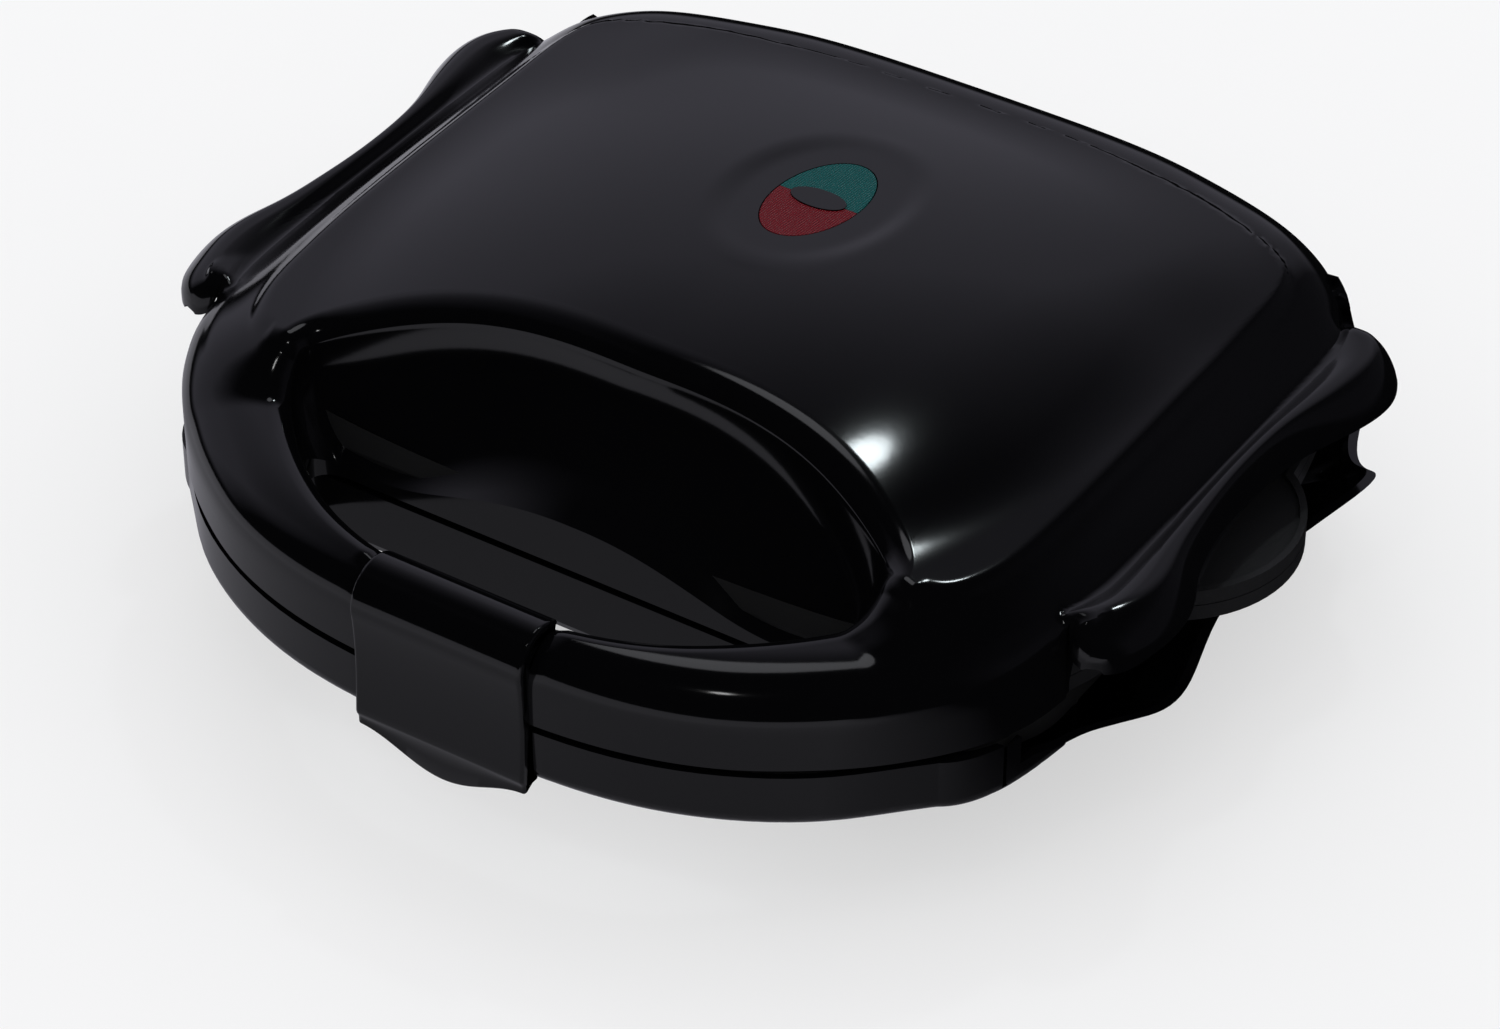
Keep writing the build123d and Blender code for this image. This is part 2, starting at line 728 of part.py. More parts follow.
with BuildPart() as base_cover:
    add(shell_outside)
    # Flat pad round the cord gland
    with BuildSketch(Plane.XZ.offset(-(rim_back - 0.5))):
        with Locations((gland_x, gland_z)):
            Circle(gland_flange + 1.5)
    extrude(amount=12)
    add(base_bow.part)
    add(base_hollow.part, mode=Mode.SUBTRACT)
    add(grip_low_opening, mode=Mode.SUBTRACT)
    add(latch_plug.part)
    with BuildSketch(Plane.XY.offset(bow_low - 1)):
        with Locations((0, recess_y)):
            Rectangle(2 * latch_zone, 30, align=(Align.CENTER, Align.MAX))
    extrude(amount=base_high - bow_low + 2, mode=Mode.SUBTRACT)
    # Hinge towers stand on the floor behind the pan
    for s in (-1, 1):
        with BuildSketch(Plane.YZ.offset(s * tower_middle)):
            with Locations((hinge_y, hinge_z)):
                Circle(hinge_radius)
            with Locations((hinge_y, hinge_z)):
                Rectangle(hinge_radius + 2, hinge_z - floor_z - 16, align=(Align.MAX, Align.MAX))
            with Locations((floor_back, floor_z + wall / 2)):
                Rectangle(floor_back - hinge_y + hinge_radius + 2, 20, align=(Align.MAX, Align.MIN))
        extrude(amount=tower_width / 2, both=True)
    # Low wall between and beside the towers
    with BuildSketch(Plane.XY.offset(rim_z - rear_wall_root)):
        with Locations((0, hinge_y)):
            Rectangle(2 * rear_wall_half, wall, align=(Align.CENTER, Align.MIN))
    extrude(amount=rear_wall_root + rear_wall_rise)
    with BuildSketch(Plane.YZ):
        with Locations((hinge_y, hinge_z)):
            Circle(hinge_pin_radius + seat_gap)
    extrude(amount=half_width - tower_inset + 5, both=True, mode=Mode.SUBTRACT)
    # Screw posts with the counterbore open below
    for x, y in frame_screws:
        add(post(x, y, floor_z + 13, level(half_down, flange_near + 12), boss_radius))
    for x, y in bow_screws:
        add(post(x, y, bow_low + wall / 2, base_high - 11, boss_radius))
    for x, y in frame_screws:
        add(post(x, y, floor_z, base_high - 11, screw_radius + seat_gap), mode=Mode.SUBTRACT)
        add(post(x, y, floor_z, floor_z + frame_screw_pocket, screw_head_radius + fit_gap), mode=Mode.SUBTRACT)
    for x, y in bow_screws:
        add(post(x, y, floor_z, base_high - 11, screw_radius + seat_gap), mode=Mode.SUBTRACT)
        add(post(x, y, floor_z, bow_low + bow_screw_pocket, screw_head_radius + fit_gap), mode=Mode.SUBTRACT)
    # Hole of the cord gland
    with BuildSketch(Plane.XZ.offset(-(rim_back + 2))):
        with Locations((gland_x, gland_z)):
            Circle(gland_neck + seat_gap)
    extrude(amount=20, mode=Mode.SUBTRACT)
    # Holes for the feet
    for x, y in both_sides([(foot_x, y) for y in foot_ys]):
        add(post(x, y, 0, floor_z + wall, foot_stem), mode=Mode.SUBTRACT)
base_cover.part.label = "base_cover"
export_step(base_cover.part, "parts/base_cover.step")


# Latch: a wrap round the bow, a front plate, a hook under the bow and a flared thumb lip
plate_low = bow_low - latch_gap - hook_thick
latch_inner = latch_outer - latch_thick
with BuildPart() as latch:
    with BuildSketch(Plane.YZ):
        with BuildLine():
            start = (latch_pin_y + latch_outer * cos(radians(wrap_start)),
                     latch_pin_z + latch_outer * sin(radians(wrap_start)))
            start_in = (latch_pin_y + latch_inner * cos(radians(wrap_start)),
                        latch_pin_z + latch_inner * sin(radians(wrap_start)))
            middle = (latch_pin_y + latch_outer * cos(radians(wrap_start / 2 + 90)),
                      latch_pin_z + latch_outer * sin(radians(wrap_start / 2 + 90)))
            middle_in = (latch_pin_y + latch_inner * cos(radians(wrap_start / 2 + 90)),
                         latch_pin_z + latch_inner * sin(radians(wrap_start / 2 + 90)))
            ThreePointArc(start, middle, (front, latch_pin_z))
            Polyline((front, latch_pin_z), (front + 0.6, plate_low + 2), (front + 0.2, plate_low - lip_drop + 3),
                     (front + 1.8, plate_low - lip_drop + 3), (front + latch_thick, plate_low),
                     (front + latch_thick + hook_reach, plate_low),
                     (front + latch_thick + hook_reach, bow_low - latch_gap),
                     (front + latch_thick, bow_low - latch_gap), (front + latch_thick, latch_pin_z))
            ThreePointArc((front + latch_thick, latch_pin_z), middle_in, start_in)
            Line(start_in, start)
        make_face()
    extrude(amount=latch_width / 2, both=True)
    for s in (-1, 1):
        with BuildSketch(Plane.YZ.offset(s * latch_ear_x)):
            with Locations((latch_pin_y, latch_pin_z)):
                Circle(latch_ear_radius)
                Rectangle(latch_outer - 1, 2 * latch_ear_radius - 2, align=(Align.MAX, Align.CENTER))
        extrude(amount=latch_ear / 2, both=True)
    with BuildSketch(Plane.YZ):
        with Locations((latch_pin_y, latch_pin_z)):
            Circle(latch_pin_radius + running_gap)
    extrude(amount=latch_ear_x + latch_ear, both=True, mode=Mode.SUBTRACT)
    # Wavy lower edge of the lip
    with BuildSketch(Plane.XZ.offset(-front)):
        with BuildLine():
            Spline((-latch_width / 2 - 1, plate_low - 3.5), (-latch_width / 4, plate_low - lip_drop + 3.5),
                   (0, plate_low - lip_drop + 3), (latch_width / 4, plate_low - lip_drop + 3.5),
                   (latch_width / 2 + 1, plate_low - 3.5), tangents=((1, 0), (1, 0)))
            Polyline((latch_width / 2 + 1, plate_low - 3.5), (latch_width / 2 + 1, plate_low - 15),
                     (-latch_width / 2 - 1, plate_low - 15), (-latch_width / 2 - 1, plate_low - 3.5))
        make_face()
    extrude(amount=10, both=True, mode=Mode.SUBTRACT)
latch.part.label = "latch"
export_step(latch.part, "parts/latch.step")

with BuildPart() as latch_pin:
    with BuildSketch(Plane.YZ):
        with Locations((latch_pin_y, latch_pin_z)):
            Circle(latch_pin_radius)
    extrude(amount=latch_ear_x + 6, both=True)
latch_pin.part.label = "latch_pin"
export_step(latch_pin.part, "parts/latch_pin.step")

# Hinge pins, one on each side
with BuildPart() as hinge_pins:
    for s in (-1, 1):
        with BuildSketch(Plane.YZ.offset(s * (ear_outer + tower_outer - ear_width) / 2)):
            with Locations((hinge_y, hinge_z)):
                Circle(hinge_pin_radius)
        extrude(amount=(tower_outer - ear_outer + ear_width) / 2, both=True)
hinge_pins.part.label = "hinge_pins"
export_step(hinge_pins.part, "parts/hinge_pins.step")


# Rim of a plate in plan: narrow ends, swollen sides and a lug in the middle of each side
def rim_outline(inset):
    side = plate_half_width - inset
    swell = plate_half_width + plate_bulge - inset
    lug = half_width - lug_inset - inset
    near = plate_front + 10
    far = plate_back - 8
    length = lug_half_length - inset
    with BuildSketch() as outline:
        with Locations((0, (plate_front + plate_back) / 2)):
            RectangleRounded(2 * side, plate_back - plate_front - 2 * inset, plate_corner - inset)
        with BuildLine():
            ThreePointArc((side - 1, near), (swell, plate_centre_y), (side - 1, far))
            Line((side - 1, far), (side - 1, near))
        make_face()
        with BuildLine():
            ThreePointArc((swell - 4, plate_centre_y - length), (lug, plate_centre_y + 3),
                          (swell - 4, plate_centre_y + length + 3))
            Line((swell - 4, plate_centre_y + length + 3), (swell - 4, plate_centre_y - length))
        make_face()
        mirror(about=Plane.YZ)
    return outline.sketch


# One triangular pocket in plan, on the right side
def pocket_outline(corners, inset):
    with BuildSketch() as outline:
        with BuildLine():
            Polyline(*corners, close=True)
        make_face()
        offset(amount=-inset, kind=Kind.INTERSECTION)
        fillet(outline.vertices(), 6.0 if inset > 1 else 4.0)
    return outline.sketch


cell_low = (cell_inset, cell_front)
cell_right = (cell_inset + cell_width, cell_front)
cell_far = (cell_inset + cell_width, cell_back)
cell_left = (cell_inset, cell_back)
pocket_triangles = [(cell_low, cell_right, cell_far), (cell_low, cell_far, cell_left)]


def cooking_plate(side):
    face = level(side, parting_gap)
    rim = rim_outline(0)
    rim_inside = rim_outline(1.6)
    outer = [pocket_outline(t, 0.4) for t in pocket_triangles]
    inner = [pocket_outline(t, pocket_ridge) for t in pocket_triangles]
    with BuildPart() as plate:
        with BuildSketch(Plane.XY.offset(face)):
            add(rim)
        extrude(amount=side * (plate_slab + plate_lip))
        with BuildSketch(Plane.XY.offset(face + side * plate_slab)):
            add(rim_inside)
        extrude(amount=side * plate_lip, mode=Mode.SUBTRACT)
        for outline in outer:
            with BuildSketch(Plane.XY.offset(face)):
                add(outline)
            extrude(amount=side * (pocket_depth + pocket_wall), taper=pocket_draft - 4)
        # Tabs for the clips
        for x in (-clip_x, clip_x):
            for y in (hole_front + clip_tab, hole_back - clip_tab):
                with BuildSketch(Plane.XY.offset(face)):
                    with Locations((x, y)):
                        Rectangle(8, 2.4)
                extrude(amount=side * 9)
    left = mirror(plate.part, about=Plane.YZ, mode=Mode.PRIVATE)
    with BuildPart() as whole:
        add(plate.part)
        add(left)
        for outline in inner:
            with BuildSketch(Plane.XY.offset(face)):
                add(outline)
            extrude(amount=side * pocket_depth, taper=pocket_draft, mode=Mode.SUBTRACT)
            with BuildSketch(Plane.XY.offset(face)):
                add(mirror(outline, about=Plane.YZ, mode=Mode.PRIVATE))
            extrude(amount=side * pocket_depth, taper=pocket_draft, mode=Mode.SUBTRACT)
    return whole.part



lower_plate = cooking_plate(half_down)
lower_plate.label = "lower_plate"
export_step(lower_plate, "parts/lower_plate.step")

upper_plate = cooking_plate(half_up)
upper_plate.label = "upper_plate"
export_step(upper_plate, "parts/upper_plate.step")


# Pressed reflector pan: tray, flange in the frame's rebate and two holes for the heater ends
def reflector_pan(side):
    rest = level(side, rebate_far - sheet)
    deep = level(side, pan_far)
    hole_y = (hole_front + hole_back) / 2
    length = hole_back - hole_front
    with BuildPart() as pan:
        with BuildSketch(Plane.XY.offset(rest)):
            with Locations((0, hole_y)):
                RectangleRounded(2 * (hole_half_width - fit_gap), length - 2 * fit_gap, hole_corner - fit_gap)
        extrude(amount=deep - rest)
        with BuildSketch(Plane.XY.offset(rest)):
            with Locations((0, hole_y)):
                RectangleRounded(2 * (hole_half_width + pan_flange - fit_gap),
                                 length + 2 * (pan_flange - fit_gap), hole_corner + pan_flange - fit_gap)
        extrude(amount=side * sheet)
        with BuildSketch(Plane.XY.offset(rest)):
            with Locations((0, hole_y)):
                RectangleRounded(2 * (hole_half_width - fit_gap - sheet), length - 2 * (fit_gap + sheet),
                                 hole_corner - fit_gap - sheet)
        extrude(amount=deep - rest - side * sheet, mode=Mode.SUBTRACT)
        for s in (-1, 1):
            with BuildSketch(Plane.XZ.offset(-hole_back - 2)):
                with Locations((s * heater_end_gap, level(side, tube_level))):
                    Circle(tube_radius + 0.1)
            extrude(amount=8, mode=Mode.SUBTRACT)
    return pan.part


lower_reflector_pan = reflector_pan(half_down)
lower_reflector_pan.label = "lower_reflector_pan"
export_step(lower_reflector_pan, "parts/lower_reflector_pan.step")

upper_reflector_pan = reflector_pan(half_up)
upper_reflector_pan.label = "upper_reflector_pan"
export_step(upper_reflector_pan, "parts/upper_reflector_pan.step")

# Heater: one bent tube round the pan, both ends out through the back, each with a terminal rod


def heater(side):
    z = level(side, tube_level)
    with BuildPart() as tube:
        with BuildLine() as route:
            FilletPolyline((-heater_end_gap, heater_end, z), (-heater_end_gap, heater_far, z),
                           (-heater_side, heater_far, z), (-heater_side, heater_near, z),
                           (heater_side, heater_near, z), (heater_side, heater_far, z),
                           (heater_end_gap, heater_far, z), (heater_end_gap, heater_end, z),
                           radius=heater_bend)
        with BuildSketch(Plane(origin=(-heater_end_gap, heater_end, z), z_dir=(0, -1, 0))):
            Circle(tube_radius)
        sweep(path=route.line)
        for s in (-1, 1):
            with BuildSketch(Plane(origin=(s * heater_end_gap, heater_end, z), z_dir=(0, 1, 0))):
                Circle(terminal_radius)
            extrude(amount=terminal_length)
    return tube.part


lower_heating_element = heater(half_down)
lower_heating_element.label = "lower_heating_element"
export_step(lower_heating_element, "parts/lower_heating_element.step")

upper_heating_element = heater(half_up)
upper_heating_element.label = "upper_heating_element"
export_step(upper_heating_element, "parts/upper_heating_element.step")


# Saddles that hold the heater's long sides to the pan
def heater_brackets(side):
    z = level(side, tube_level)
    rest = level(side, pan_far - sheet)
    y = (heater_near + heater_far) / 2
    with BuildPart() as saddles:
        for s in (-1, 1):
            with BuildSketch(Plane.XY.offset(rest)):
                with Locations((s * heater_side, y)):
                    Rectangle(14, 10)
            extrude(amount=-side * (tube_radius + 2))
            with BuildSketch(Plane.XZ.offset(-y)):
                with Locations((s * heater_side, z)):
                    Circle(tube_radius + 0.1)
            extrude(amount=10, both=True, mode=Mode.SUBTRACT)
    return saddles.part


lower_element_brackets = heater_brackets(half_down)
lower_element_brackets.label = "lower_element_brackets"
export_step(lower_element_brackets, "parts/lower_element_brackets.step")

upper_element_brackets = heater_brackets(half_up)
upper_element_brackets.label = "upper_element_brackets"
export_step(upper_element_brackets, "parts/upper_element_brackets.step")


# Spring clips: a strip against the pan's wall with a lip over the plate's tab
def plate_clips(side):
    low = level(side, flange_near + 3)
    with BuildPart() as clips:
        for x in (-clip_x, clip_x):
            for y, turn in ((hole_front + fit_gap + sheet, 1), (hole_back - fit_gap - sheet, -1)):
                with BuildSketch(Plane.XY.offset(low)):
                    with Locations((x, y + turn * 0.4)):
                        Rectangle(10, 0.8)
                extrude(amount=side * 9)
                with BuildSketch(Plane.XY.offset(low)):
                    with Locations((x, y + turn * 1.9)):
                        Rectangle(10, 3.8)
                extrude(amount=side * 0.8)
    return clips.part


lower_plate_clips = plate_clips(half_down)
lower_plate_clips.label = "lower_plate_clips"
export_step(lower_plate_clips, "parts/lower_plate_clips.step")

upper_plate_clips = plate_clips(half_up)
upper_plate_clips.label = "upper_plate_clips"
export_step(upper_plate_clips, "parts/upper_plate_clips.step")


# Cord gland: neck in the rear wall and a flange outside it
gland_face = rim_back - 0.5
with BuildPart() as cord_gland:
    with BuildSketch(Plane.XZ.offset(-gland_face)):
        with Locations((gland_x, gland_z)):
            Circle(gland_neck)
    extrude(amount=gland_reach)
    with BuildSketch(Plane.XZ.offset(-gland_face)):
        with Locations((gland_x, gland_z)):
            Circle(gland_flange)
    extrude(amount=-gland_collar)
    with BuildSketch(Plane.XZ.offset(-gland_face - 5)):
        with Locations((gland_x, gland_z)):
            Circle(gland_bore)
    extrude(amount=gland_reach + 10, mode=Mode.SUBTRACT)
    fillet(cord_gland.edges().group_by(Axis.Y)[-1].sort_by(SortBy.LENGTH)[-1:], 0.8)
cord_gland.part.label = "cord_gland"
export_step(cord_gland.part, "parts/cord_gland.step")

# Feet with a stem through the floor
with BuildPart() as feet:
    for x, y in both_sides([(foot_x, y) for y in foot_ys]):
        add(post(x, y, 0, floor_z, foot_radius))
        add(post(x, y, floor_z, floor_z + wall + 1, foot_stem - seat_gap))
    fillet(feet.edges().group_by(Axis.Z)[0], foot_round)
feet.part.label = "feet"
export_step(feet.part, "parts/feet.step")


# A screw from the face of its head to its tip
def screw(x, y, head_z, tip_z):
    neck_z = head_z + (screw_head if tip_z > head_z else -screw_head)
    return post(x, y, head_z, neck_z, screw_head_radius) + post(x, y, neck_z, tip_z, screw_radius)


with BuildPart() as base_screws:
    for x, y in frame_screws:
        add(screw(x, y, floor_z + frame_screw_pocket - screw_head, level(half_down, flange_near + 1)))
    for x, y in bow_screws:
        add(screw(x, y, bow_low + bow_screw_pocket - screw_head, base_high - 1))
base_screws.part.label = "base_screws"
export_step(base_screws.part, "parts/base_screws.step")

with BuildPart() as lid_screws:
    for x, y in frame_screws:
        add(screw(x, y, level(half_up, flange_near) + head_room, level(half_up, flange_near + 14)))
    for x, y in bow_screws:
        add(screw(x, y, lid_low + head_room, lid_low + 15))
lid_screws.part.label = "lid_screws"
export_step(lid_screws.part, "parts/lid_screws.step")

# Terminal block on the floor behind the pan
block_low = floor_z + wall
block_wire_z = block_low + 4
with BuildPart() as terminal_block:
    with BuildSketch(Plane.XY.offset(block_low)):
        with Locations((block_x, block_y)):
            Rectangle(block_width, block_depth)
    extrude(amount=block_height)
    for step in (-1, 0, 1):
        with BuildSketch(Plane.XZ.offset(-(block_y + block_depth))):
            with Locations((block_x + step * block_pitch, block_wire_z)):
                Circle(lead_radius + 0.6)
        extrude(amount=2 * block_depth, mode=Mode.SUBTRACT)
        with BuildSketch(Plane.XY.offset(block_low + block_height)):
            with Locations((block_x + step * block_pitch, block_y)):
                Circle(screw_radius)
        extrude(amount=-3, mode=Mode.SUBTRACT)
terminal_block.part.label = "terminal_block"
export_step(terminal_block.part, "parts/terminal_block.step")


# The oval window, one lens is the rear half for 1 and the front half for -1
lens_body = oval(window_a, window_b, -lens_height, 0)
lens_rim = oval(window_a + lens_flange, window_b + lens_flange, -lens_height, -lens_seat)
cap_room = oval(window_cap_a + lens_gap, window_cap_b + lens_gap, lens_ledge - lens_height, 5)


def lens(turn):
    with BuildPart() as half:
        add(lens_body)
        add(lens_rim)
        add(cap_room, mode=Mode.SUBTRACT)
        with BuildSketch(Plane.XY.offset(-lens_height - 1)):
            with Locations((0, turn * lens_gap / 2)):
                Rectangle(4 * window_a, 2 * window_b,
                          align=(Align.CENTER, Align.MAX if turn > 0 else Align.MIN))
        extrude(amount=lens_height + 2, mode=Mode.SUBTRACT)
    return window_place * half.part


green_lens = lens(1)
green_lens.label = "green_lens"
export_step(green_lens, "parts/green_lens.step")

red_lens = lens(-1)
red_lens.label = "red_lens"
export_step(red_lens, "parts/red_lens.step")

lens_centre_cap = window_place * oval(window_cap_a, window_cap_b, lens_ledge - lens_height, 0.3)
lens_centre_cap.label = "lens_centre_cap"
export_step(lens_centre_cap, "parts/lens_centre_cap.step")

# Lamp holder under the window, with a trough for each lamp and an ear for each screw
holder_low = -lens_height - holder_depth
with BuildPart() as holder:
    with BuildSketch(Plane.XY.offset(holder_low)):
        Rectangle(2 * window_a + 4, 2 * (window_b + lens_flange))
    extrude(amount=holder_depth)
    with BuildSketch(Plane.XY.offset(-lens_height - holder_ear_thick)):
        Rectangle(holder_ear_width, 2 * holder_screw_y + 8)
    extrude(amount=holder_ear_thick)
    for turn in (-1, 1):
        with BuildSketch(Plane.XY.offset(holder_low + 1.5)):
            with Locations((0, turn * lamp_offset)):
                Rectangle(2 * window_a, 2 * lamp_offset - 2)
        extrude(amount=holder_depth, mode=Mode.SUBTRACT)
        with BuildSketch(Plane.YZ):
            with Locations((turn * lamp_offset, -lamp_drop)):
                Circle(lamp_radius)
        extrude(amount=lamp_length, both=True, mode=Mode.SUBTRACT)
        add(post(0, turn * holder_screw_y, -lens_height - 5, -lens_height + 5, screw_radius + seat_gap),
            mode=Mode.SUBTRACT)
lamp_holder = window_place * holder.part
lamp_holder.label = "lamp_holder"
export_step(lamp_holder, "parts/lamp_holder.step")

with BuildPart() as lamps:
    for turn in (-1, 1):
        with BuildSketch(Plane.YZ):
            with Locations((turn * lamp_offset, -lamp_drop)):
                Circle(lamp_radius - seat_gap)
        extrude(amount=lamp_length / 2, both=True)
indicator_lamps = window_place * lamps.part
indicator_lamps.label = "indicator_lamps"
export_step(indicator_lamps, "parts/indicator_lamps.step")

holder_screw_face = -lens_height - holder_ear_thick - screw_head
with BuildPart() as small_screws:
    for turn in (-1, 1):
        add(screw(0, turn * holder_screw_y, holder_screw_face, 3 - lens_height))
lamp_holder_screws = window_place * small_screws.part
lamp_holder_screws.label = "lamp_holder_screws"
export_step(lamp_holder_screws, "parts/lamp_holder_screws.step")

# Thermostat and fuse on the back of the upper pan
pan_back = level(half_up, pan_far)
with BuildPart() as thermostat:
    add(post(thermostat_x, thermostat_y, pan_back, pan_back + thermostat_height, thermostat_radius))
    with BuildSketch(Plane.XY.offset(pan_back)):
        with Locations((thermostat_x, thermostat_y)):
            Rectangle(thermostat_ear, 9)
    extrude(amount=tab_thick)
    for s in (-1, 1):
        x = thermostat_x + s * thermostat_screw_step
        add(post(x, thermostat_y, pan_back - 1, pan_back + 2, screw_radius + seat_gap), mode=Mode.SUBTRACT)
        with BuildSketch(Plane.XY.offset(pan_back + thermostat_height)):
            with Locations((thermostat_x + s * tab_step, thermostat_y)):
                Rectangle(tab_thick, 5)
        extrude(amount=tab_height)
thermostat.part.label = "thermostat"
export_step(thermostat.part, "parts/thermostat.step")

with BuildPart() as thermostat_screws:
    for s in (-1, 1):
        x = thermostat_x + s * thermostat_screw_step
        add(post(x, thermostat_y, pan_back, pan_back + tab_thick, screw_radius))
        add(post(x, thermostat_y, pan_back + tab_thick, pan_back + tab_thick + screw_head, screw_head_radius))
thermostat_screws.part.label = "thermostat_screws"
export_step(thermostat_screws.part, "parts/thermostat_screws.step")

fuse_z = pan_back + tab_thick + fuse_radius + 0.1
with BuildPart() as thermal_fuse:
    with BuildSketch(Plane.YZ.offset(fuse_x)):
        with Locations((fuse_y, fuse_z)):
            Circle(fuse_radius)
    extrude(amount=fuse_length / 2, both=True)
thermal_fuse.part.label = "thermal_fuse"
export_step(thermal_fuse.part, "parts/thermal_fuse.step")

with BuildPart() as fuse_strap:
    with BuildSketch(Plane.YZ.offset(fuse_x)):
        with Locations((fuse_y, pan_back)):
            Rectangle(14, tab_thick, align=(Align.CENTER, Align.MIN))
        with Locations((fuse_y, fuse_z)):
            Circle(fuse_radius + 0.1 + tab_thick)
            Circle(fuse_radius + 0.1, mode=Mode.SUBTRACT)
    extrude(amount=strap_width / 2, both=True)
fuse_strap.part.label = "fuse_strap"
export_step(fuse_strap.part, "parts/fuse_strap.step")


# Insulated lead along straight runs with round bends
def lead(*points):
    with BuildPart() as tube:
        with BuildLine() as route:
            FilletPolyline(*points, radius=lead_bend)
        with BuildSketch(Plane(origin=route.line @ 0, z_dir=route.line % 0)):
            Circle(lead_radius)
        sweep(path=route.line)
    return tube.part


# Depth position and height of a lamp's axis
def lamp_centre(turn):
    lean = radians(window_tilt)
    y = window_y + turn * lamp_offset * cos(lean) - lamp_drop * sin(lean)
    z = crown_z - window_drop - turn * lamp_offset * sin(lean) - lamp_drop * cos(lean)
    return y, z


rod_tip = heater_end + terminal_length
low_z = level(half_down, tube_level)
high_z = level(half_up, tube_level)
block_rear = block_y + block_depth / 2
base_leads = [
    lead((block_x + block_pitch, block_rear - 2, block_wire_z),
         (block_x + block_pitch, block_rear + 2, block_wire_z),
         (-heater_end_gap - 9, rod_tip + 1, low_z - 8),
         (-heater_end_gap, rod_tip + 3.5, low_z),
         (-heater_end_gap, rod_tip, low_z)),
    lead((block_x, block_y - block_depth / 2 + 2, block_wire_z),
         (block_x, block_y - block_depth, block_wire_z),
         (heater_end_gap - 20, block_y - block_depth, block_wire_z),
         (heater_end_gap, rod_tip + 2, low_z - 9),
         (heater_end_gap, rod_tip + 3.5, low_z),
         (heater_end_gap, rod_tip, low_z)),
]
with BuildPart() as base_wiring:
    for tube in base_leads:
        add(tube)
base_wiring.part.label = "base_wiring"
export_step(base_wiring.part, "parts/base_wiring.step")

run_z = pan_back + 5.25
run_back = heater_far + 10
run_front = thermostat_y + 10
tab_z = pan_back + thermostat_height + tab_height - 3
tab_side = tab_step + tab_thick / 2
fuse_end = fuse_length / 2
lamp_end = lamp_length / 2
joint_x = lead_run_x - lead_radius - 0.2
lid_leads = [
    lead((-heater_end_gap, rod_tip, high_z),
         (-heater_end_gap, rod_tip + 3.5, high_z),
         (-heater_end_gap, rod_tip - 2.5, run_z),
         (-lead_run_x, run_back, run_z),
         (-lead_run_x, run_front, run_z),
         (-lead_run_x, fuse_y, fuse_z),
         (fuse_x - fuse_end, fuse_y, fuse_z)),
    lead((fuse_x + fuse_end, fuse_y, fuse_z),
         (fuse_x + fuse_end + 10, fuse_y, fuse_z),
         (fuse_x + fuse_end + 28, thermostat_y, tab_z),
         (thermostat_x - tab_side, thermostat_y, tab_z)),
    lead((thermostat_x + tab_side, thermostat_y, tab_z),
         (lead_run_x, thermostat_y, tab_z),
         (lead_run_x, run_front, run_z),
         (lead_run_x, run_back, run_z),
         (heater_end_gap, rod_tip - 2.5, run_z),
         (heater_end_gap, rod_tip + 3.5, high_z),
         (heater_end_gap, rod_tip, high_z)),
]
for s in (-1, 1):
    for turn in (-1, 1):
        lamp_y, lamp_z = lamp_centre(turn)
        lid_leads.append(lead((s * lamp_end, lamp_y, lamp_z), (s * (lamp_end + 6), lamp_y, lamp_z),
                              (s * joint_x, lamp_y, run_z)))
with BuildPart() as lid_wiring:
    for tube in lid_leads:
        add(tube)
lid_wiring.part.label = "lid_wiring"
export_step(lid_wiring.part, "parts/lid_wiring.step")
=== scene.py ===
import bpy
import bmesh
import json
import math
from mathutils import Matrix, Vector, kdtree


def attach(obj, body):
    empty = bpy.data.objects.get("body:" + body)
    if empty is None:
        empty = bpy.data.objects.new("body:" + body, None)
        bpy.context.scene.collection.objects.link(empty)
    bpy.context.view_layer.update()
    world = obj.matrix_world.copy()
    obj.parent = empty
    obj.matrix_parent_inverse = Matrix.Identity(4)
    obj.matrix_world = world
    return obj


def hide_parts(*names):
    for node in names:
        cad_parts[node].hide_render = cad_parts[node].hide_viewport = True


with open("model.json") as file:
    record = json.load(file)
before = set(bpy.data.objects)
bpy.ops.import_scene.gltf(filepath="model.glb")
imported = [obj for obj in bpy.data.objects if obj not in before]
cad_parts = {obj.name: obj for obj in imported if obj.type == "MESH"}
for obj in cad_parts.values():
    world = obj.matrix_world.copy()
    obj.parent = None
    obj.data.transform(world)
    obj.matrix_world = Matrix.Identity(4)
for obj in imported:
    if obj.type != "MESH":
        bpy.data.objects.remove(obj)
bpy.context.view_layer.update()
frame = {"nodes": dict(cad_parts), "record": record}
nodes = frame["nodes"]
scene = bpy.context.scene
mm = 0.001


# Camera
camera = {
    "place": (532.0, -811.3, 766.5),   # mm
    "azimuth": 33.1,
    "elevation": 37.7,
    "lens": 119.9,
    "sensor": 36.0,
    "nearest": 0.05,                   # m, what the camera can show
    "farthest": 20.0,
}


def makeCamera(c):
    data = bpy.data.cameras.new("camera")
    data.lens = c["lens"]
    data.sensor_width = c["sensor"]
    data.clip_start = c["nearest"]
    data.clip_end = c["farthest"]
    eye = bpy.data.objects.new("camera", data)
    eye.location = Vector(c["place"]) * mm
    eye.rotation_euler = (math.radians(90 - c["elevation"]), 0.0, math.radians(c["azimuth"]))
    scene.collection.objects.link(eye)
    scene.camera = eye


makeCamera(camera)
print("camera placed")


